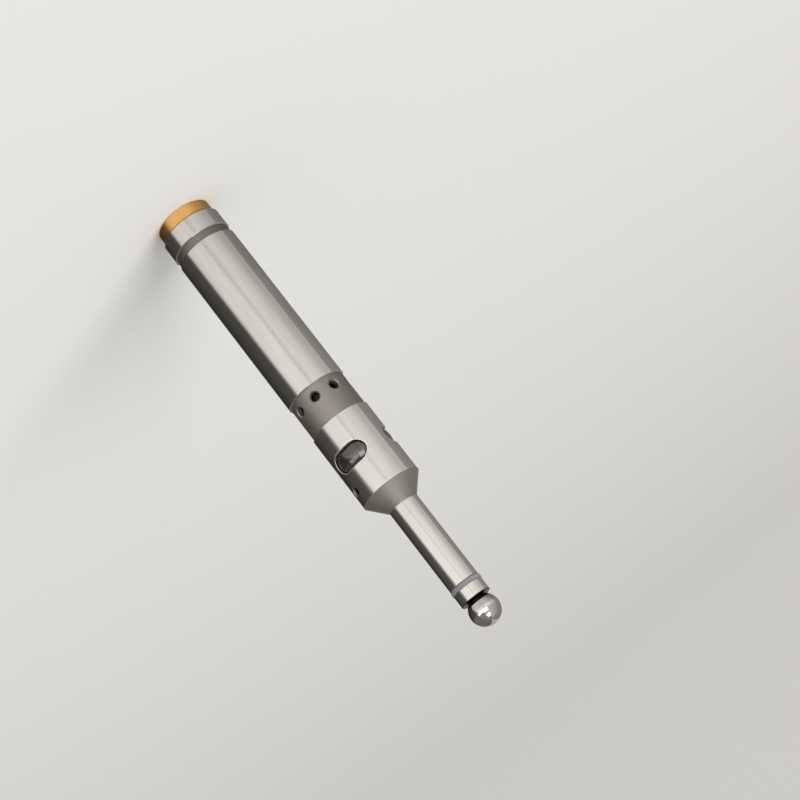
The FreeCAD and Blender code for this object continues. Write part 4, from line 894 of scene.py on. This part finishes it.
skirt = outline_rows([
    (HOUSING_BORE, WINDOW_LOW), (HOUSING_BORE, RELIEF), (JOINT_BORE, RELIEF),
    (JOINT_BORE, HOUSING_START), (SHANK_RADIUS - EDGE, HOUSING_START),
    (SHANK_RADIUS, HOUSING_START + EDGE), (SHANK_RADIUS, WINDOW_LOW)])
belt = outline_rows([(SHANK_RADIUS, WINDOW_HIGH), (SHANK_RADIUS, SCREW_LOW)])
ledge = outline_rows([(ANCHOR_BORE, SCREW_LOW), (ANCHOR_BORE, SHOULDER), (HOUSING_BORE, SHOULDER),
                      (HOUSING_BORE, WINDOW_HIGH)])
screw_rows = np.linspace(SCREW_LOW, SCREW_HIGH, SCREW_ROWS + 1)
beside = outline_rows([(SHANK_RADIUS, level) for level in screw_rows])
inside = outline_rows([(ANCHOR_BORE, level) for level in screw_rows[::-1]])
nose = outline_rows([
    (SHANK_RADIUS, SCREW_HIGH), (SHANK_RADIUS, CONE_START - EDGE),
    (SHANK_RADIUS - EDGE, CONE_START), (STEM_RADIUS - TIP_EDGE, STEM_START),
    (STEM_RADIUS, STEM_START + TIP_EDGE),
    (STEM_RADIUS, STEM_END - TIP_EDGE), (STEM_RADIUS - TIP_EDGE, STEM_END), (TAIL_BORE, STEM_END),
    (TAIL_BORE, TAIL_START), (STEM_BORE, TAIL_START), (STEM_BORE, ANCHOR_END),
    (ANCHOR_BORE, ANCHOR_END), (ANCHOR_BORE, SCREW_HIGH)])


def cone_is_dull(rows):
    """Finish 1 for the cone, the bores and the end faces: all that isn't a ground outer side."""
    level = rows[:, 1] / MM
    beside_cone = (level < CONE_START + 0.1) | (level > STEM_START - 0.1)
    outside = rows[:, 0] > (STEM_RADIUS - TIP_EDGE - 0.1) * MM
    ground = (rows[:, 2] > 0.9) & beside_cone & outside
    return (~(ground[:-1] & ground[1:])).astype(int)


screw_span = (12, 37)  # the first and last step of the turn that the screw hole's patch covers
grids = [(*carried_round(rows), cone_is_dull(rows)) for rows in (skirt, belt, ledge, nose)]
rest = {"first": screw_span[1], "last": screw_span[0] + AROUND}
grids += [(*carried_round(beside, **rest), 0), (*carried_round(inside, **rest), 1)]
grids += holed_wall(screw_span, (SCREW_LOW, SCREW_HIGH), SCREW_TURN, SCREW_LEVEL,
                    round_hole(SCREW_HOLE), (SHANK_RADIUS, ANCHOR_BORE), rounded_rim(SCREW_EDGE),
                    upright=SCREW_ROWS, rings=8, finish=(0, 0, 1))
# The windows' rounded rims take the brighter edge steel, a painted highlight.
for number in range(WINDOWS):
    middle = number * 2 * math.pi / WINDOWS
    grids += holed_wall(hole_sector(number, WINDOWS, middle), (WINDOW_LOW, WINDOW_HIGH), middle,
                        WINDOW_LEVEL, slot_hole(WINDOW_LENGTH, WINDOW_WIDTH),
                        (SHANK_RADIUS, HOUSING_BORE), rounded_rim(WINDOW_RIM),
                        upright=32, rings=16, finish=(0, 2, 1))
build("lamp_housing_and_stem", grids, [ground_steel, cone_steel, rim_painted_highlight], "housing",
      "front_body")

# %% [markdown]
# ## Window lenses
# Each window is closed by a smoked acrylic lens: a flange that lies against the bore and a
# crowned pad that fills the slot with a hair of air round it. The pad's top is the window's
# outline shrunk to its middle in steps, and each step is lifted onto a round crown that falls
# away to both long sides like a small pillow. That is why one soft spot of light sits in it.

# %% Lenses
LENS_GAP = 0.1         # air all round the pad
LENS_CROWN = SHANK_RADIUS - 0.3
LENS_SAG = 0.75        # how much lower the crown is at its long sides
LENS_END_SAG = 0.45    # and at its ends
LENS_ROUND = 0.5       # the round of the pad's edge
LENS_FLANGE = 0.7      # how far the flange reaches past the slot
FLANGE_THICK = 0.7
LENS_OUTSIDE = HOUSING_BORE - 0.1
LENS_INSIDE = LENS_OUTSIDE - FLANGE_THICK
PINCHED = 1e-16        # a grid's square metres under which its row has run into one point


def grid_normals(points, towards):
    """Directions square to a grid that closes on itself sideways, all on the side of towards."""
    down = np.gradient(points, axis=0)
    ring = points[:, :-1]
    along = np.roll(ring, -1, axis=1) - np.roll(ring, 1, axis=1)
    along = np.concatenate([along, along[:, :1]], axis=1)
    normals = np.cross(down, along)
    size = np.linalg.norm(normals, axis=2, keepdims=True)
    normals = np.where(size > PINCHED, normals / np.maximum(size, PINCHED), 0)
    for end, beside in ((0, 1), (-1, -2)):
        if size[end].max() <= PINCHED:
            normals[end] = normals[beside].mean(0)
    sign = np.sign((normals * towards).sum(2, keepdims=True))
    return normals * np.where(sign == 0, 1, sign)


def lens_grids(middle):
    """Grids of one lens: crown with its rounded edge, sides, flange and hollow underside."""
    angle = np.linspace(0, 2 * math.pi, 121)
    length, width = WINDOW_LENGTH - 2 * LENS_GAP, WINDOW_WIDTH - 2 * LENS_GAP
    facing = np.array([math.sin(middle), -math.cos(middle), 0])

    def lifted(across, up, radius):
        """Planar points lifted to a radius about the tool's axis."""
        return on_wall(across, WINDOW_LEVEL + up, radius, middle)[0]

    def crown(across, up):
        """The crown's radius, lower by the squares of the height over the middle and of the
        reach past the straight sides, so that it falls away all round."""
        past = np.maximum(np.abs(across) - (length - width) / 2, 0) / (width / 2)
        return LENS_CROWN - LENS_SAG * (up / (width / 2)) ** 2 - LENS_END_SAG * past ** 2

    top = []
    for share in np.linspace(0, 1, 15):
        across, up = obround(angle, length - 2 * LENS_ROUND, width - 2 * LENS_ROUND)
        top.append(lifted(across * share, up * share, crown(across * share, up * share)))
    for turn in np.linspace(0, math.pi / 2, 7)[1:]:
        inset = 2 * LENS_ROUND * (1 - math.sin(turn))
        across, up = obround(angle, length - inset, width - inset)
        top.append(lifted(across, up, crown(across, up) - LENS_ROUND * (1 - math.cos(turn))))
    across, up = obround(angle, length, width)
    wide_across, wide_up = obround(angle, length + 2 * LENS_FLANGE, width + 2 * LENS_FLANGE)
    outward = stood_up(outward_of(across, up), middle)
    sides = np.array([top[-1], lifted(across, up, LENS_OUTSIDE)])
    step_out = np.array([sides[-1], lifted(wide_across, wide_up, LENS_OUTSIDE)])
    flange = np.array([step_out[-1], lifted(wide_across, wide_up, LENS_INSIDE)])
    under = np.array([lifted(wide_across * share, wide_up * share, LENS_INSIDE)
                      for share in np.linspace(1, 0, 13)])
    top = np.array(top)
    return [(top, grid_normals(top, facing + outward)), (sides, np.stack([outward] * 2)),
            (step_out, grid_normals(step_out, facing)), (flange, np.stack([outward] * 2)),
            (under, grid_normals(under, -facing))]


for number in range(WINDOWS):
    grids = lens_grids(number * 2 * math.pi / WINDOWS)
    build(f"lens_{number + 1}", grids, [smoked_acrylic], "housing",
          f"window_lens_{number + 1}")

# %% [markdown]
# ## Battery cap
# The brass cap closes the battery chamber. Its flat end has a slot for a coin, and its spigot
# has the thread that shows when it is screwed out. A thread is the outline's wall moved in and
# out as a wave of the level and the turn together: one full turn moves the wave by one pitch.

# %% Cap skin
CAP_RADIUS = 9.2
CAP_FLANGE = 4.2
SPIGOT = 7.95
SPIGOT_END = 10.2
RECESS = 5.6
END_WALL = 2.6
SLOT_LENGTH, SLOT_WIDTH, SLOT_DEPTH = 12.0, 1.8, 1.4
PITCH = 1.0            # thread, in millimetres a turn
THREAD_DEPTH = 0.45
THREAD_MARGIN = 0.5    # plain wall at both ends of the thread

face_corner = CAP_RADIUS - EDGE
flange_rows = outline_rows([
    (face_corner, 0), (CAP_RADIUS, EDGE), (CAP_RADIUS, CAP_FLANGE - EDGE),
    (CAP_RADIUS - EDGE, CAP_FLANGE), (SPIGOT, CAP_FLANGE), (SPIGOT, CAP_FLANGE + THREAD_MARGIN)])
hollow_rows = outline_rows([
    (SPIGOT, SPIGOT_END - THREAD_MARGIN), (SPIGOT, SPIGOT_END - EDGE),
    (SPIGOT - EDGE, SPIGOT_END), (RECESS, SPIGOT_END), (RECESS, END_WALL), (0, END_WALL)])


def thread_wall(radius, low, high, rows_per_pitch=12):
    """A wall with a V thread that fades in and out over half a pitch at both ends.
    Its depth is a zigzag of the level in pitches less the turn in full turns."""
    level = np.linspace(low, high, int((high - low) / PITCH * rows_per_pitch) + 1)[:, None]
    angle = np.arange(AROUND + 1) * STEP
    phase = level / PITCH - angle / (2 * math.pi)
    wave = np.abs((phase % 1.0) - 0.5) * 2
    run_out = 0.5 * PITCH
    fade = np.clip((level - low) / run_out, 0, 1) * np.clip((high - level) / run_out, 0, 1)
    around_wall = radius - THREAD_DEPTH * wave * fade
    points, outward = radial_points(angle + 0 * level, level + 0 * angle, around_wall)
    return points, grid_normals(points, outward)


def slotted_end(radius):
    """The flat end with a coin slot: face, slot sides and slot floor, all seen from below."""
    angle = np.arange(AROUND + 1) * STEP
    circle = np.stack([radius * np.sin(angle), -radius * np.cos(angle)], -1)
    bearing = np.arctan2(circle[:, 1], circle[:, 0])
    slot = np.stack(obround(bearing, SLOT_LENGTH, SLOT_WIDTH), -1)
    share = np.linspace(0, 1, 13)[:, None, None]
    face = np.concatenate([slot + (circle - slot) * share, np.zeros((13, len(angle), 1))], -1) * MM
    edge = np.concatenate([slot, np.zeros((len(angle), 1))], -1) * MM
    deep = edge + np.array([0, 0, SLOT_DEPTH * MM])
    sides = np.array([edge, deep])
    inwards = np.linspace(1, 0, 5)[:, None, None]
    bottom = deep * inwards * np.array([1, 1, 0]) + np.array([0, 0, SLOT_DEPTH * MM])
    away = outward_of(slot[:, 0], slot[:, 1])
    inward = np.concatenate([-away, np.zeros((len(angle), 1))], -1)
    down = np.array([0, 0, -1.0])
    return [(face, np.broadcast_to(down, face.shape)), (sides, np.stack([inward] * 2)),
            (bottom, np.broadcast_to(down, bottom.shape))]


grids = [carried_round(flange_rows), carried_round(hollow_rows)]
grids.append(thread_wall(SPIGOT, CAP_FLANGE + THREAD_MARGIN, SPIGOT_END - THREAD_MARGIN))
grids += slotted_end(face_corner)
build("cap", grids, [satin_brass], "cap", "battery_cap")

# %% [markdown]
# ## Collar, insulating ring and ball
# The tip carries a steel collar on a turned insulator, whose flange shows as a grey ring, and
# the ball sits in the collar's cone, held by a spring through the stem. All three are outlines
# carried round. The ball is a half circle with its drilling, and its directions are simply
# those from its centre, so it mirrors the tent without a flaw.

# %% Tip skins
COLLAR_START, COLLAR_END = levels("tip_collar")
NOSE_END = COLLAR_START + 2.4
NOSE_RADIUS = 3.5
BUSH_BORE = 2.0
RING_RADIUS = 5.15
BALL_RADIUS = 5.0
BALL_LEVEL = levels("contact_ball")[1] - BALL_RADIUS
STUD_RADIUS = 1.0
STUD_TOP = BALL_LEVEL - 1.0
SEAT = math.radians(60)
SEAT_APEX = BALL_LEVEL - (BALL_RADIUS + 0.1) / math.sin(SEAT)

collar_rows = outline_rows([
    (NOSE_RADIUS, COLLAR_START), (STEM_RADIUS - TIP_EDGE, COLLAR_START),
    (STEM_RADIUS, COLLAR_START + TIP_EDGE), (STEM_RADIUS, COLLAR_END - TIP_EDGE),
    (STEM_RADIUS - TIP_EDGE, COLLAR_END), ((COLLAR_END - SEAT_APEX) * math.tan(SEAT), COLLAR_END),
    (BUSH_BORE, SEAT_APEX + BUSH_BORE / math.tan(SEAT)), (BUSH_BORE, NOSE_END),
    (NOSE_RADIUS, NOSE_END)], closed=True)
# The collar's end and its seat cone are painted shade: the rows whose outward looks up, towards the
# ball, are black.
looks_up = np.append(collar_rows[:, 3], collar_rows[0, 3]) > 0.6
black = (looks_up[:-1] & looks_up[1:]).astype(int)
build("collar", [(*carried_round(collar_rows, closed=True), black)],
      [ground_steel, blackened_steel_and_painted_shade], "housing", "tip_collar")

ring_rows = outline_rows([
    (BUSH_BORE, TAIL_START), (TAIL_BORE, TAIL_START), (TAIL_BORE, STEM_END),
    (RING_RADIUS - TIP_EDGE, STEM_END), (RING_RADIUS, STEM_END + TIP_EDGE),
    (RING_RADIUS, COLLAR_START - TIP_EDGE), (RING_RADIUS - TIP_EDGE, COLLAR_START),
    (NOSE_RADIUS, COLLAR_START), (NOSE_RADIUS, NOSE_END), (BUSH_BORE, NOSE_END)], closed=True)
build("insulating_ring", [carried_round(ring_rows, closed=True)], [insulator], "housing",
      "tip_bush")


def ball_rows(count=90):
    """A half circle from the drilling's edge to the top: distance R cos a, level R sin a."""
    start = -math.pi / 2 + math.asin(STUD_RADIUS / BALL_RADIUS)
    angle = np.linspace(start, math.pi / 2, count)
    across, up = np.cos(angle), np.sin(angle)
    across[-1] = 0.0
    level = BALL_LEVEL + BALL_RADIUS * up
    return np.stack([BALL_RADIUS * across * MM, level * MM, across, up], -1)


skin = ball_rows()
drilling = np.array([[STUD_RADIUS * MM, STUD_TOP * MM, -1, 0],
                     [STUD_RADIUS * MM, skin[0, 1], -1, 0]])
drill_end = np.array([[0, STUD_TOP * MM, 0, -1], [STUD_RADIUS * MM, STUD_TOP * MM, 0, -1]])
build("ball", [carried_round(rows) for rows in (skin, drilling, drill_end)], [lapped_steel],
      "ball", "contact_ball")
